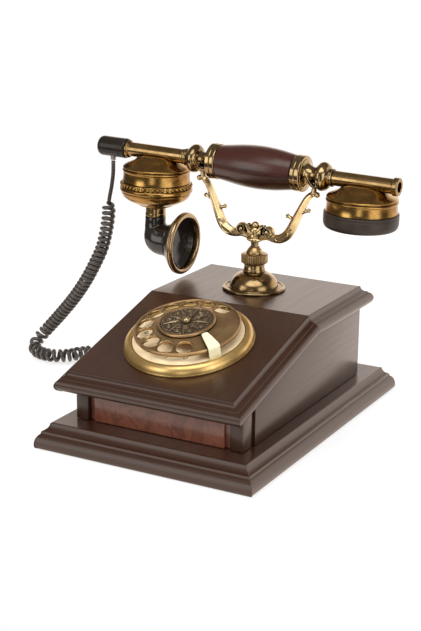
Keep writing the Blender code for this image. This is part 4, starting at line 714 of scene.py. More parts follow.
def sweep(bm, points, radii, sides, flat=1.0, across=None, domed=True):
    """A rod through points with a radius at each. flat narrows or widens it across one direction."""
    line, tangents, turned_sides = transported(points)
    radii = [float(radius) for radius in radii]
    rings = []
    for point, radius, tangent, side in zip(line, radii, tangents, turned_sides):
        if across is not None:
            side = (Vector(across) - tangent * Vector(across).dot(tangent)).normalized()
        other = tangent.cross(side)
        ring = []
        for k in range(sides):
            x, y = polar(1, math.tau * (k + 0.5) / sides)
            ring.append((point + radius * (x * flat * side + y * other)) * MM)
        rings.append(ring)
    if domed:
        for end, outward in ((0, -1), (-1, 1)):
            middle, rise = line[end] * MM, tangents[end] * outward * radii[end] * MM * DOME_RISE
            domes = []
            for angle in DOME_ANGLES:
                sink, lift = math.cos(angle), rise * math.sin(angle)
                domes.append([middle + (corner - middle) * sink + lift for corner in rings[end]])
            tip = [middle + rise]
            rings = [tip] + domes[::-1] + rings if end == 0 else rings + domes + [tip]
    rows = [[bm.verts.new(corner) for corner in ring] for ring in rings]
    skin(bm, rows)
    if not domed:
        cap(bm, rows)


def strand(bm, points, per_span, sides, **shape):
    """A smooth rod through (x, y, z, radius) points."""
    line = smooth_line(points, per_span)
    sweep(bm, line[:, :3], line[:, 3], sides, **shape)


def ball(bm, at, radius, levels, squash=(1, 1, 1)):
    made = bmesh.ops.create_icosphere(bm, subdivisions=levels, radius=radius * MM)
    for vert in made["verts"]:
        vert.co = vert.co * Vector(squash) + Vector(at) * MM


def beads(bm, count, radius, height, size, levels, squash=(1, 1, 1), shift=0.0):
    """Balls in a ring about Z."""
    for k in range(count):
        ball(bm, polar(radius, math.tau * (k + shift) / count, height), size, levels, squash)


def hoop(bm, radius, thick, steps, sides, place, flat=1.0):
    """A ring of round wire lying flat about Z."""
    rows = []
    for i in range(steps):
        out = Vector(polar(1, math.tau * i / steps, 0))
        row = []
        for k in range(sides):
            x, y = polar(1, math.tau * k / sides)
            point = out * (radius + thick * x) + Vector((0, 0, thick * flat * y))
            row.append(bm.verts.new((place @ point) * MM))
        rows.append(row)
    skin(bm, rows, closing=True)


def shade(mesh, sharp=SHARP):
    """Smooth shading that breaks at edges above an angle in degrees."""
    mesh.shade_smooth()
    mesh.set_sharp_from_angle(angle=math.radians(sharp))


def solid(name, bm, place=WORLD):
    """A mesh object with its faces turned outward."""
    bmesh.ops.recalc_face_normals(bm, faces=bm.faces)
    return linked(name, mesh_of(name, bm), place)


def piece(name, bm, looks, place, rides_on, slot, stands_for=(), sharp=SHARP, in_world=False):
    """A finished mesh object that rides on a body and stands for CAD nodes."""
    if in_world:
        bm.transform(place)
        place = WORLD
    made = solid(name, bm, place)
    for look in looks:
        made.data.materials.append(LOOKS[look])
    shade(made.data, sharp)
    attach(made, rides_on)
    if stands_for:
        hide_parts(*stands_for)
    return made


def turned(name, look, place, rides_on, slot, node, steps, profile, **more):
    """A piece turned about Z that stands for one CAD node."""
    bm = bmesh.new()
    spin(bm, profile, steps)
    return piece(name, bm, [look], place, rides_on, slot, [node], **more)


def drill(name, radius, low, high, steps, place):
    """A closed cylinder to cut with."""
    bm = bmesh.new()
    spin(bm, [(0, low), (radius, low), (radius, high), (0, high)], steps)
    return solid(name, bm, place)


def block(name, size, at, place=WORLD):
    """A closed box to cut with."""
    bm = bmesh.new()
    bmesh.ops.create_cube(bm, size=MM)
    bmesh.ops.scale(bm, vec=size, verts=bm.verts)
    bmesh.ops.translate(bm, vec=Vector(at) * MM, verts=bm.verts)
    return solid(name, bm, place)


def carve(target, cutters):
    """Cuts closed meshes out of a piece and bakes the result."""
    for cutter in cutters:
        made = target.modifiers.new("cut", "BOOLEAN")
        made.operation = "DIFFERENCE"
        made.solver = "EXACT"
        made.object = cutter
    bpy.context.view_layer.update()
    graph = bpy.context.evaluated_depsgraph_get()
    mesh = bpy.data.meshes.new_from_object(target.evaluated_get(graph), depsgraph=graph)
    target.modifiers.clear()
    old = target.data
    target.data = mesh
    bpy.data.meshes.remove(old)
    for cutter in cutters:
        bpy.data.objects.remove(cutter)
    shade(mesh)


# Case

CORNER_EASE, CORNER_STEPS = 0.5, 4
EDGE_ANGLE = 0.3
PLINTH_TOP = 18.2
PLINTH_CORE = (74.9, 112.4)
SCREW_RECESS = 3.7
LID_HALF_X = 62.8
LID_BREAK = Vector((0, 1.3, 86.1))
FLAT_LENGTH = 90.4
LID_GAP = 0.15
LID_PROFILE = (
    [(-1.5, 0.0), (-0.3, 0.0)] + arc((0.0, 0.85), (0.85, 0.85), -90, 0, 5) + [(1.0, 1.35), (1.05, 1.55)]
    + flowing([(1.15, 1.9), (1.75, 3.0), (2.8, 3.9), (4.1, 4.35)], 3)[1:]
    + [(4.75, 4.45), (5.05, 4.75), (5.1, 5.2)]
    + arc((3.55, 9.9), (5.0, 4.9), -66, 52, 16) + [(6.0, 14.3), (5.2, 14.85), (4.4, 15.0), (0.0, 15.0)]
)


def corner_points(x, y, out):
    """A mitred corner, eased by a small radius, moved out with the moulding."""
    sx, sy = math.copysign(1, x), math.copysign(1, y)
    cx, cy = x + sx * (out - CORNER_EASE), y + sy * (out - CORNER_EASE)
    start = math.atan2(0, sx) if sx * sy < 0 else math.atan2(sy, 0)
    points = []
    for i in range(CORNER_STEPS + 1):
        px, py = polar(CORNER_EASE, start + math.pi / 2 * i / CORNER_STEPS)
        points.append((cx + px, cy + py))
    return points


def make_plinth():
    """The same moulding on all four sides. Its profile is (out, height), from the top down."""
    half_x, half_y = PLINTH_CORE
    profile = [(-1.5, PLINTH_TOP), (-0.3, PLINTH_TOP)]
    profile += arc((0.0, PLINTH_TOP - 0.85), (0.85, 0.85), 90, 0, 5)
    profile += [(0.95, PLINTH_TOP - 1.5)]
    profile += flowing([(1.1, 16.5), (1.9, 14.9), (3.2, 13.5), (4.5, 12.75)], 3)[1:]
    profile += [(4.75, 12.6), (5.25, 12.45), (5.35, 12.0), (5.45, 11.6)]
    profile += arc((3.1, 3.3), (6.0, 8.3), 66, 0, 12)
    profile += [(9.05, 1.9), (8.7, 1.0), (8.1, 0.45), (7.4, 0.3), (2.0, 0.3)]
    bm = bmesh.new()
    rows = []
    for out, height in profile:
        row = []
        for x, y in ((half_x, -half_y), (half_x, half_y), (-half_x, half_y), (-half_x, -half_y)):
            row += [bm.verts.new(Vector((*point, height)) * MM) for point in corner_points(x, y, out)]
        rows.append(row)
    skin(bm, rows)
    for face in bm.faces:
        middle = face.calc_center_median() / MM
        face.material_index = 1 if abs(middle.x) - half_x > abs(middle.y) - half_y else 0
    cap(bm, rows)
    bm.faces.ensure_lookup_table()
    for face in bm.faces[-2:]:
        face.material_index = 1
    plinth = piece("plinth_board", bm, ["wood_x", "wood_y"], WORLD, "base", "case_wood", ["plinth"])
    cutters = [block("felt_recess", (104.6, 164.6, 6.0), (0, 0, -1.5))]
    for i in range(1, 5):
        low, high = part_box(f"case_screw_{i}")
        at = Matrix.Translation(((low.x + high.x) / 2, (low.y + high.y) / 2, 0))
        cutters.append(drill(f"screw_recess_{i}", SCREW_RECESS, -2, 3.5, 32, at))
    carve(plinth, cutters)


def lid_board(name, node, along, down, length):
    """One board of the lid, with its moulding on the three sides away from the mitre. The profile is
    (out, depth), from the top down, and along and down are the board's own directions."""
    mitre = Vector((0, -math.tan(SLOPE_ANGLE / 2), 1))
    bm = bmesh.new()
    rows = []
    for out, depth in LID_PROFILE:
        middle = LID_BREAK - mitre * depth + along * LID_GAP
        half = Vector((LID_HALF_X + out, 0, 0))
        ring = [middle + half]
        for sx in (1, -1):
            for px, py in corner_points(sx * LID_HALF_X, -length, out)[::sx]:
                ring.append(LID_BREAK + along * -py + down * depth + Vector((px, 0, 0)))
        ring.append(middle - half)
        rows.append([bm.verts.new(point * MM) for point in ring])
    count = len(rows[0])
    for a, b in zip(rows, rows[1:]):
        for i in range(count - 1):
            face = bm.faces.new((a[i], a[i + 1], b[i + 1], b[i]))
            face.material_index = 1 if i < count // 4 or i >= count - 1 - count // 4 else 0
    for row in (rows[0], rows[-1]):
        bm.faces.new(row).material_index = 1
    bm.faces.new([row[0] for row in rows] + [row[-1] for row in reversed(rows)])
    piece(name, bm, ["wood_x", "wood_y"], WORLD, "base", "case_wood", [node])


def eased(name, node, look, slot, size):
    """A CAD board with its edges eased."""
    source = frame["nodes"][node]
    bm = bmesh.new()
    bm.from_mesh(source.data)
    bmesh.ops.remove_doubles(bm, verts=bm.verts, dist=1e-5)
    bmesh.ops.dissolve_limit(bm, angle_limit=math.radians(1), verts=bm.verts, edges=bm.edges)
    sharp = [edge for edge in bm.edges if len(edge.link_faces) == 2 and edge.calc_face_angle() > EDGE_ANGLE]
    bmesh.ops.bevel(
        bm, geom=sharp, offset=size * MM, segments=3, profile=0.5, affect="EDGES", clamp_overlap=True)
    piece(name, bm, [look], WORLD, source["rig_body"], slot, [node])


def make_case():
    make_plinth()
    slope_up = Vector((0, math.cos(SLOPE_ANGLE), math.sin(SLOPE_ANGLE)))
    slope_down = Vector((0, math.sin(SLOPE_ANGLE), -math.cos(SLOPE_ANGLE)))
    slope_length = (DIAL_PIVOT - LID_BREAK * MM).length * 2 / MM
    lid_board("lid_slope_board", "lid_slope", -slope_up, slope_down, slope_length)
    lid_board("lid_flat_board", "lid_flat", Vector((0, 1, 0)), Vector((0, 0, -1)), FLAT_LENGTH)
    for side in ("left", "right"):
        eased(f"post_{side}", f"front_post_{side}", "wood_z", "case_wood", 0.6)
        eased(f"side_{side}", f"side_panel_{side}", "wood_y", "case_wood", 0.5)
    eased("front_veneer", "front_panel", "burl", "burl_wood", 0.4)
    eased("back_board", "back_panel", "wood_x", "case_wood", 0.4)


# Dial

HOLES = [math.radians(62.6 + 25.85 * i) for i in range(10)]
HOLE_AT, HOLE_SIZE = 29.3, 6.0
CROWN, OUTER_TOP = 15.4, 12.7
CONE_FROM, CONE_TO = 20.1, 35.2
DIGITS_AT, DIGITS_HEIGHT = 0.0300, 0.00632
DIGIT_SIZE, DIGIT_DEPTH = 0.0062, 0.00005
STOP_ANGLE = math.radians(-33)
DISC_GAP, DISC_FLOOR, DISC_RIM, DISC_HOLLOW = 0.3, 0.75, 1.7, 17.6
NUT_GAP, SLOT_ANGLE = 0.2, 0.6
LEAVES = 9
SCROLL_STEPS = 22


def wheel_height(radius):
    share = (radius - CONE_FROM) / (CONE_TO - CONE_FROM)
    return CROWN + (OUTER_TOP - CROWN) * max(0.0, min(1.0, share))


def make_bezel():
    profile = [(39.2, 0.3), (39.2, 5.9)]
    profile += flowing([(39.25, 6.1), (39.75, 6.85), (40.7, 7.15), (41.8, 6.95), (43.1, 6.05), (44.1, 4.8),
                        (44.75, 3.3), (45.0, 1.9)], 4)[1:]
    profile += [(45.0, 1.5), (45.2, 1.25), (45.2, 0.45), (45.05, 0.3), (39.2, 0.3)]
    turned("dial_bezel_ring", "bezel", DIAL, "base", "brass", "dial_bezel", 160, profile)


def make_number_plate():
    profile = [(2.6, 6.3), (38.0, 6.3), (38.5, 6.25), (38.8, 5.95), (38.8, 5.1), (2.6, 5.1), (2.6, 6.3)]
    turned(
        "number_plate_disc", "cream", DIAL, "base", "number_plate", "number_plate", 128, supported(profile))
    marks = bmesh.new()
    for i, angle in enumerate(HOLES):
        data = bpy.data.curves.new(f"mark_{i}", "FONT")
        data.body = str((i + 1) % 10)
        data.size = DIGIT_SIZE
        data.align_x = data.align_y = "CENTER"
        data.extrude = DIGIT_DEPTH
        text = linked(f"mark_{i}", data)
        bpy.context.view_layer.update()
        graph = bpy.context.evaluated_depsgraph_get()
        mesh = bpy.data.meshes.new_from_object(text.evaluated_get(graph))
        mesh.transform(Matrix.Translation(polar(DIGITS_AT, angle, DIGITS_HEIGHT)))
        marks.from_mesh(mesh)
        bpy.data.objects.remove(text)
        bpy.data.meshes.remove(mesh)
        bpy.data.curves.remove(data)
    piece("plate_numbers", marks, ["ink"], DIAL, "base", "number_plate")


def make_wheel():
    profile = [(0, CROWN), (CONE_FROM, CROWN)]
    profile += [(radius, wheel_height(radius)) for radius in (20.6, 24, 28, 32, 34.6)]
    profile += [(35.0, 12.85), (35.2, 13.2)]
    profile += arc((36.0, 12.1), (1.0, 1.5), 120, -80, 12)
    profile += [(35.9, 10.6), (35.4, 10.8), (35.2, 11.3), (20.3, 13.9), (8.0, 13.9), (8.0, 10.7), (0, 10.7)]
    wheel = turned(
        "finger_wheel_plate", "wheel", DIAL, "dial", "brass", "finger_wheel", 180, supported(profile))
    cutters = []
    for i, angle in enumerate(HOLES):
        at = DIAL @ Matrix.Translation(polar(HOLE_AT * MM, angle, 0))
        cutters.append(drill(f"hole_{i}", HOLE_SIZE, 8, 20, 48, at))
    carve(wheel, cutters)
    lips = bmesh.new()
    on_cone = Matrix.Translation((HOLE_AT, 0, wheel_height(HOLE_AT) - 0.05)) \
        @ Matrix.Rotation(math.atan2(CROWN - OUTER_TOP, CONE_TO - CONE_FROM), 4, "Y")
    for angle in HOLES:
        place = Matrix.Rotation(angle, 4, "Z") @ on_cone
        hoop(lips, HOLE_SIZE + 0.12, 0.42, 48, 10, place, 0.85)
        hoop(lips, HOLE_SIZE + 0.10, 0.30, 48, 8, place @ Matrix.Translation((0, 0, -1.5)), 0.9)
    piece("finger_hole_lips", lips, ["lip"], DIAL, "dial", "brass")


def curl(bm, start, direction, size, thick, height, turns, hand):
    """A flat scroll: a strand that leaves a point, winds into a spiral and gets thinner."""
    base = math.radians(direction)
    x, y = polar(size, base + hand * math.pi / 2)
    centre = Vector((start[0] + x, start[1] + y))
    points = []
    radii = []
    for i in range(SCROLL_STEPS + 1):
        t = i / SCROLL_STEPS
        x, y = polar(size * (1 - 0.78 * t), base - hand * math.pi / 2 + hand * math.tau * turns * t)
        points.append((centre.x + x, centre.y + y, height))
        radii.append(thick * (1 - 0.45 * t))
    sweep(bm, points, radii, 8)
    ball(bm, (*centre, height), thick * 1.5, 1)


def make_centre_disc():
    low = CROWN + DISC_GAP
    floor, top = low + DISC_FLOOR, low + DISC_RIM
    bm = bmesh.new()
    profile = [(0, floor), (DISC_HOLLOW, floor), (17.9, floor + 0.2), (18.2, top - 0.25)]
    profile += arc((18.9, top - 0.35), (0.75, 0.5), 150, 20, 5)
    profile += [(19.75, top - 0.55), (20.1, top - 0.95), (20.1, low + 0.2), (19.9, low), (0, low)]
    spin(bm, profile, 128)
    # The floor inside the rim takes the near-black recess look: painted shade round the relief.
    for face in bm.faces:
        middle = face.calc_center_median() / MM
        if middle.xy.length < DISC_HOLLOW and middle.z > low + 0.1:
            face.material_index = 1
    piece("centre_disc_dish", bm, ["wheel", "recess"], DIAL, "dial", "dark_brass", ["centre_disc"])
    relief = bmesh.new()
    for k in range(LEAVES):
        turn = math.tau * k / LEAVES

        def spot(radius, along, *rest):
            (x, y), (side_x, side_y) = polar(radius, turn), polar(along, turn)
            return (x - side_y, y + side_x, *rest)

        degrees = math.degrees(turn)
        curl(relief, spot(8.6, 0.0), degrees + 35, 2.5, 0.62, floor + 0.25, 1.3, 1)
        curl(relief, spot(13.0, -1.2), degrees - 25, 1.9, 0.55, floor + 0.25, 1.25, -1)
        strand(relief, [
            spot(5.2, 0.2, floor + 0.35, 0.5), spot(8.0, 1.1, floor + 0.75, 1.0),
            spot(11.2, 1.9, floor + 0.65, 0.8), spot(15.6, 3.0, floor + 0.3, 0.35)], 4, 8)
        ball(relief, spot(15.9, 0.4, floor + 0.25), 0.85, 2, (1, 1, 0.8))
        ball(relief, spot(12.1, 3.3, floor + 0.2), 0.6, 1)
    beads(relief, 48, 17.1, floor + 0.25, 0.62, 1)
    beads(relief, 14, 4.6, floor + 0.3, 0.75, 1, (1, 1, 0.8), 0.5)
    piece("centre_disc_relief", relief, ["relief"], DIAL, "dial", "dark_brass")
    seat = top + NUT_GAP
    profile = [(0, seat + 2.5), (0.9, seat + 2.45)] + flowing([
        (0.95, seat + 2.4), (1.9, seat + 1.95), (2.45, seat + 1.1), (2.6, seat + 0.5)], 4)
    profile += [(3.1, seat + 0.35), (3.2, seat + 0.1), (3.1, seat - 0.6), (0, seat - 0.6)]
    nut = turned("centre_nut_head", "fork", DIAL, "dial", "brass", "centre_nut", 48, profile)
    slot_turn = DIAL @ Matrix.Rotation(SLOT_ANGLE, 4, "Z")
    carve(nut, [block("nut_slot", (3.6, 0.6, 1.2), (0, 0, seat + 2.5), slot_turn)])


def make_stop():
    """Ivory strip: up from the bezel's inside, over the rim and in over the wheel."""
    outline = (
        (38.3, 0.0, 2.8, 8.6), (38.3, 0.0, 9.0, 8.6), (38.2, 0.0, 13.2, 8.6), (37.4, 0.1, 14.7, 8.6),
        (35.6, 0.25, 15.2, 8.3), (30.0, 0.85, 15.9, 6.9), (25.0, 1.4, 16.35, 5.4), (23.0, 1.62, 16.5, 4.8),
        (22.3, 1.7, 16.55, 3.9), (22.0, 1.72, 16.56, 2.6),
    )
    section = ((-0.5, -0.25), (-0.47, -0.6), (0.47, -0.6), (0.5, -0.25),
               (0.5, 0.25), (0.47, 0.6), (-0.47, 0.6), (-0.5, 0.25))
    bm = bmesh.new()
    rows = []
    line = smooth_line(outline, 4)
    for i, (x, y, z, width) in enumerate(line):
        ahead = Vector(line[min(i + 1, len(line) - 1)][:3] - line[max(i - 1, 0)][:3]).normalized()
        up = Vector((0, 1, 0)).cross(ahead).normalized()
        if up.z < 0:
            up = -up
        rows.append([
            bm.verts.new((Vector((x, y + width * across, z)) + up * rise) * MM) for across, rise in section])
    skin(bm, rows)
    cap(bm, rows)
    place = DIAL @ Matrix.Rotation(STOP_ANGLE, 4, "Z")
    piece("finger_stop_strip", bm, ["ivory"], place, "base", "ivory", ["finger_stop"], 50)


# Cradle

NUT_RIDGES = 22
RIDGES_BETWEEN = (106.2, 112.4)
RIDGES_FROM = 9.3
RIDGE_DEPTH = 0.60
NECK_RADIUS = 5.8
PRONG_RADIUS = 1.6
PRONG_GAP = 0.3
PRONG_X = 45.2
PRONG_REACH, PRONG_RISE = 15.5, 11.0
ACROSS = (0, 1, 0)
# The arm's line: distance from the middle, height and radius
ARM = (
    (9.0, 5.3, 2.8), (14.4, 4.3, 3.1), (18.0, 4.2, 3.4), (21.5, 5.0, 3.6), (25.4, 7.6, 3.75),
    (28.3, 11.8, 3.6), (30.8, 17.2, 3.4), (33.2, 22.6, 3.2), (35.8, 28.2, 2.95), (38.2, 33.3, 2.7),
    (40.4, 37.2, 2.5), (43.0, 40.0, 2.25), (45.0, 41.2, 2.05),
)
# Each stub's foot on the arm, its way out or in, and how far it rises
STUBS = ((31.4, 20.0, -1, 2.3), (36.0, 26.6, 1, 1.9))
SPINE_AT = (29.4, 31.2, 33.2, 35.4, 37.6, 39.6, 41.6, 43.4)
PANEL_AT = (17.6, 19.0, 20.8, 22.8, 24.8, 26.4, 27.6)
PANEL_BOW = 1.55
VOLUTE_X, VOLUTE_Z, VOLUTE_RADIUS, VOLUTE_STEPS = 10.4, 8.3, 3.8, 36


def make_dome():
    profile = [(3.2, 105.3), (7.2, 105.3), (7.6, 105.0), (7.6, 101.6), (7.75, 101.3), (8.1, 101.1),
               (8.2, 100.8), (8.2, 99.2), (8.05, 98.9), (8.3, 98.6)]
    profile += flowing([(8.5, 98.75), (10.6, 98.1), (12.9, 96.8), (15.1, 94.8), (16.7, 92.4), (17.6, 90.2),
                        (17.85, 88.9)], 5)
    profile += [(17.9, 88.5), (18.6, 88.2), (19.1, 87.6), (20.2, 87.45), (20.8, 87.6)]
    profile += arc((22.0, 87.2), (1.3, 0.95), 160, -30, 9)
    profile += [(23.3, 86.8), (23.3, 86.5), (23.1, 86.4), (3.2, 86.4), (3.2, 105.3)]
    turned("cradle_dome_cup", "dome", CRADLE, "base", "brass", "cradle_dome", 128, profile)


def make_locking_nut():
    def ridges(angle, radius, height):
        if radius < RIDGES_FROM or not RIDGES_BETWEEN[0] < height < RIDGES_BETWEEN[1]:
            return 0.0
        return RIDGE_DEPTH * (abs(math.cos(NUT_RIDGES * angle)) - 0.75)

    bm = bmesh.new()
    spin(bm, closed(rounded([
        (3.2, 117.8), (3.7, 117.8), (5.1, 116.0), (6.1, 114.0), (6.15, 113.1), (8.3, 112.95), (9.35, 112.5),
        (9.65, 112.1), (9.7, 109.3), (9.7, 106.6), (9.3, 106.1), (8.6, 105.7), (7.9, 105.6), (3.2, 105.6),
    ], 0.15, 2)), 16 * NUT_RIDGES, ridges)
    piece("locking_nut_ring", bm, ["nut"], CRADLE, "base", "brass", ["locking_nut"])
    stem = rounded([(0, 121.9), (2.9, 121.9), (2.9, 44.0), (5.6, 44.0), (5.6, 41.0), (0, 41.0)], 0.3, 3)
    turned("plunger_stem", "knuckle", CRADLE, "cradle", "brass", "plunger", 64, supported(stem))


def make_fork():
    bm = bmesh.new()
    spin(bm, rounded([
        (0, 10.6), (3.4, 10.4), (4.4, 9.0), (4.5, 7.0), (4.3, 5.0), (4.7, 3.7), (4.6, 3.1), (5.6, 2.75),
        (6.1, 2.2), (6.1, 1.0), (5.6, 0.35), (4.6, 0.0), (0, 0.0),
    ], 0.5, 3), 48)
    ball(bm, (0, 0, 11.5), 3.0, 3)
    for side in (-1, 1):
        strand(bm, [(side * x, 0, z, r) for x, z, r in ARM], 5, 8, flat=0.92, across=ACROSS)
        make_scroll(bm, side)
        make_leaves(bm, side)
        make_carving(bm, side)
        make_stubs(bm, side)
        make_prongs(bm, side)
    piece("cradle_fork_casting", bm, ["fork"], HEAD, "cradle", "brass", ["cradle_fork"], 30)


def make_scroll(bm, side):
    """A curled volute beside the boss, wide across, round a bright eye."""
    points, radii = [], []
    centre = Vector((side * VOLUTE_X, 0, VOLUTE_Z))
    for i in range(VOLUTE_STEPS + 1):
        t = i / VOLUTE_STEPS
        x, z = polar(VOLUTE_RADIUS * (1 - 0.66 * t), math.radians(-80 + 500 * t))
        points.append(centre + Vector((side * x, 0, z)))
        radii.append(1.45 - 0.50 * t)
    sweep(bm, points, radii, 10, flat=2.5, across=ACROSS)
    for way in (-1, 1):
        ball(bm, centre + Vector((0, way * 2.7, 0)), 1.5, 2)


def make_leaves(bm, side):
    """Broad leaves that flare from the collar between the scrolls, with a narrow one before and behind, and
    the root of the arm."""
    def leaf(points, sides, y=0.0, **shape):
        strand(bm, [(side * x, y * share, z, radius) for x, share, z, radius in points], 5, sides, **shape)

    leaf(((1.7, 0, 3.2, 2.6), (2.8, 0, 5.8, 2.9), (4.0, 0, 8.7, 2.6), (5.4, 0, 11.3, 1.6)), 12,
         flat=1.55, across=ACROSS)
    for y in (-3.4, 3.4):
        leaf(((0.9, 0.75, 3.2, 1.0), (2.4, 1, 6.4, 1.1), (4.3, 1.05, 9.4, 1.0), (6.3, 0.9, 11.4, 0.8)), 10, y)
    leaf(((3.0, 0, 3.0, 2.6), (6.4, 0, 3.6, 2.5), (9.5, 0, 4.2, 2.4), (14.0, 0, 4.4, 2.7)), 10)


def along_arm(x):
    """Height and radius of the arm at a distance from the middle, and its direction there."""
    line = smooth_line(ARM, 8)
    i = int(np.argmin(np.abs(line[:, 0] - x)))
    before, after = line[max(i - 2, 0)], line[min(i + 2, len(line) - 1)]
    return line[i], Vector((after[0] - before[0], 0, after[1] - before[1])).normalized()


def make_carving(bm, side):
    """Relief on the arm's front and back: a raised spine, and an oval panel in the bow."""
    for face in (-1, 1):
        spine = []
        for x in SPINE_AT:
            (px, pz, radius), _ = along_arm(x)
            spine.append((side * px, face * radius * 0.72, pz, 0.62 * radius * 0.75))
        strand(bm, spine, 4, 8)
        for lane in (-1, 1):
            panel = []
            for x in PANEL_AT:
                (px, pz, radius), way = along_arm(x)
                share = (x - PANEL_AT[0]) / (PANEL_AT[-1] - PANEL_AT[0])
                bow = math.sin(math.pi * share) ** 0.6 * PANEL_BOW * lane
                at = Vector((px, 0, pz)) + Vector((-way.z, 0, way.x)) * bow
                panel.append((side * at.x, face * (radius * 0.86 + 0.10), at.z, 0.52))
            strand(bm, panel, 4, 8)


def make_stubs(bm, side):
    """Short rods out of the arm, each with a ring and a ball at its end."""
    for x, z, way, rise in STUBS:
        start = Vector((side * x, 0, z))
        step = Vector((side * way * 6.0, 0, rise))
        end = start + step
        strand(bm, [(*start, 2.3), (*(start + step * 0.55), 1.3), (*end, 1.25)], 4, 12)
        outward = step.to_track_quat("Z", "Y").to_matrix().to_4x4()
        hoop(bm, 1.25, 0.55, 20, 8, Matrix.Translation(end) @ outward)
        ball(bm, end + step.normalized() * 0.2, 1.3, 2)


def make_prongs(bm, side):
    """The rod across the arm's end that carries the handset, its rising tips and the outer knob."""
    seat = HANDSET_AXIS / MM - NECK_RADIUS - PRONG_GAP - PRONG_RADIUS
    strand(bm, [
        (side * PRONG_X, PRONG_REACH * share, seat + PRONG_RISE * abs(share) ** 1.8,
         PRONG_RADIUS if abs(share) < 1 else 1.35)
        for share in (-1.0, -0.82, -0.6, -0.36, 0.0, 0.36, 0.6, 0.82, 1.0)], 4, 12)
    for line in (
            ((44.4, 40.6, 2.1), (45.0, 43.8, 1.9), (PRONG_X, seat, PRONG_RADIUS)),
            ((44.0, 41.0, 2.0), (46.2, 41.4, 1.8), (47.6, 40.8, 1.5))):
        strand(bm, [(side * x, 0, z, radius) for x, z, radius in line], 4, 12)
    ball(bm, (side * 47.7, 0, 40.6), 2.15, 2)


# Handset

ELBOW_SIDES = 48
ELBOW_TOP = -0.0483
# Shares of the quarter turn and of the widening, from the top ring to the mouth
ELBOW_TURNS = ((0.0, 0.0), (0.22, 0.13), (0.39, 0.46), (0.53, 0.73), (0.67, 0.91), (0.83, 1.0), (1.0, 1.0))
# Rings of holes in the ear cap: how many, and their radius
SOUND_HOLES = ((1, 0.0), (6, 4.2), (12, 8.0))
SOUND_HOLE_RADIUS = 0.9


def on_handset(name, look, place, node, steps, profile, slot="brass", **more):
    """A turned piece that moves with the handset."""
    turned(name, look, place, "handset", slot, node, steps, profile, **more)


def make_grip():
    profile = flowing([(12.5, 29.8), (13.5, 24.0), (14.6, 17.0), (15.35, 9.0), (15.65, 1.5), (15.4, -6.0),
                       (14.7, -14.0), (13.6, -22.0), (12.5, -29.8)], 6)
    on_handset("grip_barrel", "grip", TO_RIGHT, "grip", 96, [(0, 29.8)] + profile + [(0, -29.8)], "grip_wood",
               in_world=True)


def make_knuckles():
    profile = rounded([
        (0, 59.5), (6.1, 59.5), (6.4, 59.2), (6.4, 58.3), (6.0, 58.0), (6.0, 57.7), (6.3, 57.4), (6.3, 57.1),
        (6.0, 56.9)], 0.1, 2)
    profile += flowing([
        (6.4, 56.5), (8.6, 55.2), (10.1, 53.0), (10.4, 51.3), (9.9, 49.6), (8.3, 47.9), (6.5, 46.8),
        (5.85, 46.2)], 5)
    profile += [(5.8, 45.3), (5.8, 44.2)]
    profile += flowing([(5.9, 43.6), (6.6, 41.6), (8.0, 39.7), (10.0, 38.5)], 5)
    profile += rounded([
        (10.4, 38.4), (10.9, 38.4), (11.1, 37.9), (12.6, 37.7), (13.0, 37.2), (13.0, 34.4), (12.75, 34.1),
        (12.75, 33.8), (13.0, 33.5), (13.0, 31.0), (12.7, 30.5), (12.0, 30.1), (0, 30.1)], 0.2, 2)
    for side, place in (("right", TO_RIGHT), ("left", TO_LEFT)):
        on_handset(f"knuckle_{side}_turning", "knuckle", place, f"knuckle_{side}", 96, supported(profile))


def make_tubes():
    on_handset("tube_right_rod", "tube", TO_RIGHT, "tube_right", 72, supported(rounded([
        (0, 102.4), (3.8, 102.4), (3.8, 108.8), (6.0, 108.8), (6.4, 108.4), (6.4, 105.1), (6.1, 104.7),
        (5.35, 104.5), (5.35, 59.8), (0, 59.8)], 0.2, 3)))
    on_handset("tube_left_rod", "tube", TO_LEFT, "tube_left", 72, supported(rounded([
        (0, 109.8), (6.4, 109.8), (6.7, 109.5), (6.7, 108.3), (6.1, 107.6), (5.35, 107.1), (5.35, 62.2),
        (5.7, 62.0), (5.7, 60.6), (5.35, 60.4), (5.35, 59.8), (0, 59.8)], 0.2, 3)))
    profile = [(0, 134.2), (3.6, 134.15)]
    profile += flowing([(4.6, 134.1), (6.1, 133.6), (7.0, 132.6), (7.35, 131.2), (7.4, 129.8)], 4)
    profile += [(7.4, 115.0), (7.1, 114.7), (7.1, 114.3), (7.45, 114.0), (7.5, 113.4), (7.5, 111.4),
                (7.3, 110.5), (6.9, 110.1), (0, 110.1)]
    on_handset("end_cap_shell", "cap", TO_LEFT, "end_cap", 72, supported(profile), "black_gloss")
    gland = AXIS @ Matrix.Translation((-GLAND_AT, 0, 0))
    on_handset("cord_gland_ring", "steel", gland, "cord_gland", 48, closed(rounded([
        (1.6, -6.9), (2.1, -6.9), (2.1, -8.4), (1.9, -8.6), (1.9, -8.9), (2.1, -9.1), (2.1, -9.8),
        (1.85, -10.05), (1.6, -10.05)], 0.1, 2)))


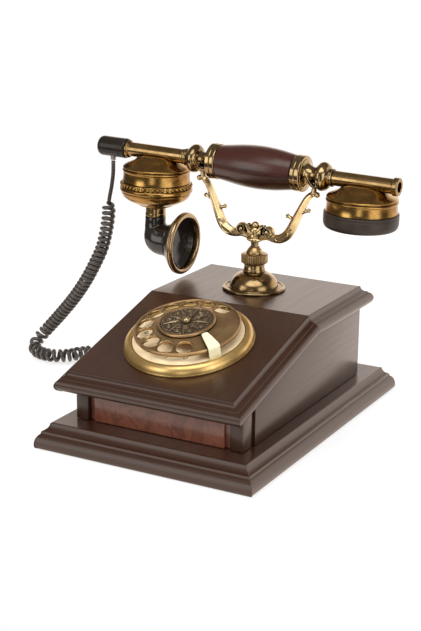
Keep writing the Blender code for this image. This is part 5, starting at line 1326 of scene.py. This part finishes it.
def make_cup(name, place, node, flare, foot):
    """A cup's housing: the domed top, then the band, by the heights of its flare and of its foot."""
    profile = [(0, -2.05), (9.0, -2.15)] + flowing([
        (10.5, -2.3), (13.2, -3.1), (15.4, -4.6), (17.4, -6.2), (19.9, -7.6), (22.6, -8.7), (24.2, -9.5)], 4)
    profile += rounded([
        (24.9, -9.9), (25.35, -10.5), (25.1, -11.1), (24.4, -11.4), (24.4, -11.9), (25.3, -12.1),
        (25.6, -12.6), (25.55, -13.2), (25.1, -13.6), (24.95, -14.1)], 0.2, 2)
    profile += flowing([(24.95, -14.3), (24.9, flare[0]), (25.05, flare[1]), (25.4, flare[2])], 4)
    profile += [(25.55, foot[0]), (25.3, foot[1]), (24.0, foot[1]), (24.0, -13.7), (0, -13.4)]
    on_handset(name, "housing", place, node, 128, profile)


def make_transmitter():
    make_cup("transmitter_cup", TRANSMITTER, "transmitter_housing", (-16.6, -18.9, -20.4), (-21.0, -21.2))
    bm = bmesh.new()
    spin(bm, closed(rounded([
        (22.4, -21.5), (25.5, -21.5), (26.0, -21.9), (26.0, -24.9), (26.7, -25.2), (27.25, -25.9),
        (27.3, -27.4), (27.0, -28.3), (26.2, -28.9), (22.4, -28.9)], 0.2, 2)), 128)
    beads(bm, 44, 25.85, -23.4, 1.45, 2)
    piece("transmitter_beads", bm, ["housing"], TRANSMITTER, "handset", "brass", ["beaded_ring"])
    profile = [(0, -29.2), (26.0, -29.2)] + flowing([
        (26.05, -29.4), (25.4, -31.4), (23.7, -33.6), (20.8, -35.7), (17.2, -37.4), (13.9, -38.5)], 5)
    profile += rounded([
        (13.4, -38.7), (13.1, -39.0), (13.1, -39.4), (12.4, -39.7), (10.9, -40.1), (9.2, -40.7), (8.1, -40.9),
        (0, -40.9)], 0.15, 2)
    on_handset("transmitter_bowl_cup", "housing", TRANSMITTER, "transmitter_bowl", 128, profile)
    on_handset("transmitter_collar_ring", "tube", TRANSMITTER, "transmitter_collar", 72, supported(rounded([
        (0, -41.2), (7.2, -41.2), (7.5, -41.5), (7.5, -45.6), (7.75, -45.9), (7.75, -47.6), (7.4, -48.0),
        (0, -48.0)], 0.2, 2)))


def make_elbow():
    """Rings that fan about the bend's inner corner, widening as they turn."""
    corner_x = ELBOW_RADIUS + ELBOW_CORNER
    corner_z = -ELBOW_DROP + ELBOW_END_RADIUS + ELBOW_CORNER
    first = corner_x + ELBOW_RADIUS
    last = 2 * ELBOW_END_RADIUS + ELBOW_CORNER
    stations = [
        (0, ELBOW_TOP, ELBOW_RADIUS - 0.0002, 0), (0, ELBOW_TOP - 0.0004, ELBOW_RADIUS, 0),
        (0, ELBOW_TOP - 0.0027, ELBOW_RADIUS, 0)]
    for turn, way in flowing(ELBOW_TURNS, 4):
        angle = math.pi / 2 * min(turn, 1.0)
        reach = first + (last - first) * min(way, 1.0)
        x, z = polar((reach + ELBOW_CORNER) / 2, angle)
        stations.append((corner_x - x, corner_z - z, (reach - ELBOW_CORNER) / 2, angle))
    stations += [
        (ELBOW_REACH - ELBOW_EASE, -ELBOW_DROP, ELBOW_END_RADIUS, math.pi / 2),
        (ELBOW_REACH, -ELBOW_DROP, ELBOW_END_RADIUS - ELBOW_EASE, math.pi / 2)]
    bm = bmesh.new()
    rows = []
    for x, z, radius, angle in stations:
        row = []
        for i in range(ELBOW_SIDES):
            along, y = polar(radius, math.tau * i / ELBOW_SIDES)
            across, up = polar(along, angle)
            row.append(bm.verts.new((x - TRANSMITTER_AT + across, y, z + up)))
        rows.append(row)
    skin(bm, rows)
    cap(bm, rows)
    piece("elbow_bend", bm, ["gloss"], AXIS, "handset", "black_gloss", ["elbow"])


def make_horn():
    profile = [(0, 1.6)]
    profile += flowing([(5.0, 1.7), (10.5, 2.9), (15.2, 5.4), (18.6, 8.2), (20.3, 9.8)], 5)
    profile += flowing([(22.1, 9.8), (20.6, 8.0), (18.3, 5.9), (15.6, 3.7), (13.8, 2.2)], 5)
    profile += rounded([
        (13.5, 1.9), (13.1, 1.5), (13.3, 1.1), (13.3, 0.5), (12.9, 0.1), (12.0, 0.0), (0, 0.0)], 0.15, 2)
    on_handset("horn_bell", "gloss", MOUTH, "mouthpiece_horn", 96, profile, "black_gloss")
    on_handset("horn_rim_ring", "rim", MOUTH, "mouthpiece_rim", 96, rounded([
        (19.2, 10.1), (19.2, 13.2, 0.5), (20.1, 14.2, 0.6), (21.4, 14.6, 0.7), (22.7, 14.1, 0.7),
        (23.4, 13.1, 0.5), (23.4, 12.3), (23.0, 12.0), (23.0, 11.7), (23.4, 11.4), (23.35, 10.6, 0.3),
        (22.8, 10.1), (19.2, 10.1)], 0.12, 4))


def make_receiver():
    make_cup("receiver_cup", RECEIVER, "receiver_housing", (-16.4, -18.6, -19.9), (-20.3, -20.6))
    ear_cap = turned("ear_cap_shell", "satin", RECEIVER, "handset", "black_satin", "ear_cap", 128, rounded([
        (0, -20.9), (26.0, -20.9), (26.6, -21.4, 0.6), (26.65, -22.4), (26.3, -22.8), (26.3, -23.2),
        (26.65, -23.6), (26.6, -29.0, 2.0), (25.6, -31.4, 1.5), (24.0, -32.3, 1.0), (21.5, -32.5, 0.8),
        (20.0, -31.7, 1.0), (11.0, -29.2, 2.0), (0, -29.0)], 0.15, 4))
    cutters = []
    for count, radius in SOUND_HOLES:
        for k in range(count):
            at = RECEIVER @ Matrix.Translation(polar(radius * MM, math.tau * k / count, 0))
            cutters.append(drill(f"sound_hole_{radius}_{k}", SOUND_HOLE_RADIUS, -34, -27.6, 16, at))
    carve(ear_cap, cutters)


# Cord

def cord_points():
    """The route's curls: a straight lead, a helix round the route, and a straight lead again."""
    line = smooth_line(np.array(CORD_ROUTE) + (0, CASE_REAR_Y, 0), POINTS_PER_SPAN)
    lengths = np.concatenate([[0], np.cumsum(np.linalg.norm(np.diff(line, axis=0), axis=1))])
    total = lengths[-1]
    first, last = CURLS_FROM, total - CURLS_BEFORE_END
    tangents = np.gradient(line, lengths, axis=0)
    tangents /= np.linalg.norm(tangents, axis=1)[:, None]
    bends = np.linalg.norm(np.gradient(tangents, lengths, axis=0), axis=1)
    window = np.ones(BEND_WINDOW) / BEND_WINDOW
    bends = np.convolve(np.pad(bends, BEND_WINDOW // 2, mode="edge"), window, "valid")
    inside = 1 - CURL_RADIUS * np.minimum(bends, 1 / TIGHTEST_BEND)
    even = HUNG_PITCH + (LAID_PITCH - HUNG_PITCH) * lengths / total
    pitches = np.maximum(even, (CORD_DIAMETER + CURL_GAP) / inside)
    counted = np.concatenate([[0], np.cumsum(np.diff(lengths) / pitches[1:])])
    counted -= np.interp(first, lengths, counted)
    curls = round(float(np.interp(last, lengths, counted)))
    counted *= curls / np.interp(last, lengths, counted)
    steps = [i / POINTS_PER_CURL for i in range(curls * POINTS_PER_CURL + 1)]
    before = np.linspace(0, first, POINTS_BEFORE)[:-1]
    after = np.linspace(last, total, POINTS_AFTER)[1:]
    places = np.concatenate([before, np.interp(steps, counted, lengths), after])
    turns = np.concatenate([np.zeros(len(before)), steps, np.zeros(len(after))])
    centres = np.array([[np.interp(place, lengths, line[:, k]) for k in range(3)] for place in places])
    _, tangents, sides = transported(centres)
    points = []
    for place, turn, centre, tangent, side in zip(places, turns, centres, tangents, sides):
        ramp = min(1.0, max(0.0, min(place - first, last - place) / CURL_LEAD))
        x, y = polar(1, math.tau * float(turn))
        outward = x * side + y * tangent.cross(side)
        points.append(Vector(centre) + float(DRAWN_CURL_RADIUS * ramp) * outward)
    return points


def make_cord():
    points = cord_points()
    bm = bmesh.new()
    radii = [CORD_DIAMETER / 2 / MM] * len(points)
    sweep(bm, [point / MM for point in points], radii, CORD_SIDES, domed=False)
    made = solid("handset_cord_tube", bm)
    made.data.materials.append(LOOKS["cord"])
    made.data.shade_smooth()
    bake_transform(made)
    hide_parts("handset_cord")


def make_socket():
    """The grommet in the left wall, stepped down to the cord."""
    low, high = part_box("cord_socket")
    at = Matrix.Translation((SOCKET_WALL_X, (low.y + high.y) / 2, (low.z + high.z) / 2)) @ Z_TO_LEFT
    turned("cord_socket_grommet", "satin", at, "base", "black_satin", "cord_socket", 48, rounded([
        (0, 4.0), (1.9, 4.0), (2.6, 3.7), (3.0, 2.9), (3.3, 2.6), (3.3, 2.2), (4.4, 1.9), (4.8, 1.5),
        (4.8, 0.3), (3.2, 0.3), (3.2, -6.4), (0, -6.4)], 0.3, 3))


# Looks of the CAD nodes that stay
HIDDEN = {
    "felt": ("base_felt",),
    "steel": ("dial_case", "dial_shaft", "plunger_guide", "plunger_spring", "switch_lever", "clapper",
              "transmitter_capsule", "receiver_capsule", "case_screw_1", "case_screw_2", "case_screw_3",
              "case_screw_4"),
    "board": ("circuit_board",),
    "satin": ("hook_switch", "line_jack"),
    "bezel": ("gong_left", "gong_right"),
    "copper": ("ringer_coil",),
}


def dress_hidden():
    for look, nodes in HIDDEN.items():
        for node in nodes:
            mesh = frame["nodes"][node].data
            mesh.materials.clear()
            mesh.materials.append(LOOKS[look])


def main():
    bpy.context.scene.view_settings.view_transform = "Standard"
    for make in (
            make_camera, make_world, make_lamps, make_floor, make_looks, make_cord, make_socket, make_case,
            make_bezel, make_number_plate, make_wheel, make_centre_disc, make_stop, make_dome,
            make_locking_nut, make_fork, make_grip, make_knuckles, make_tubes, make_transmitter, make_elbow,
            make_horn, make_receiver, dress_hidden):
        make()


main()
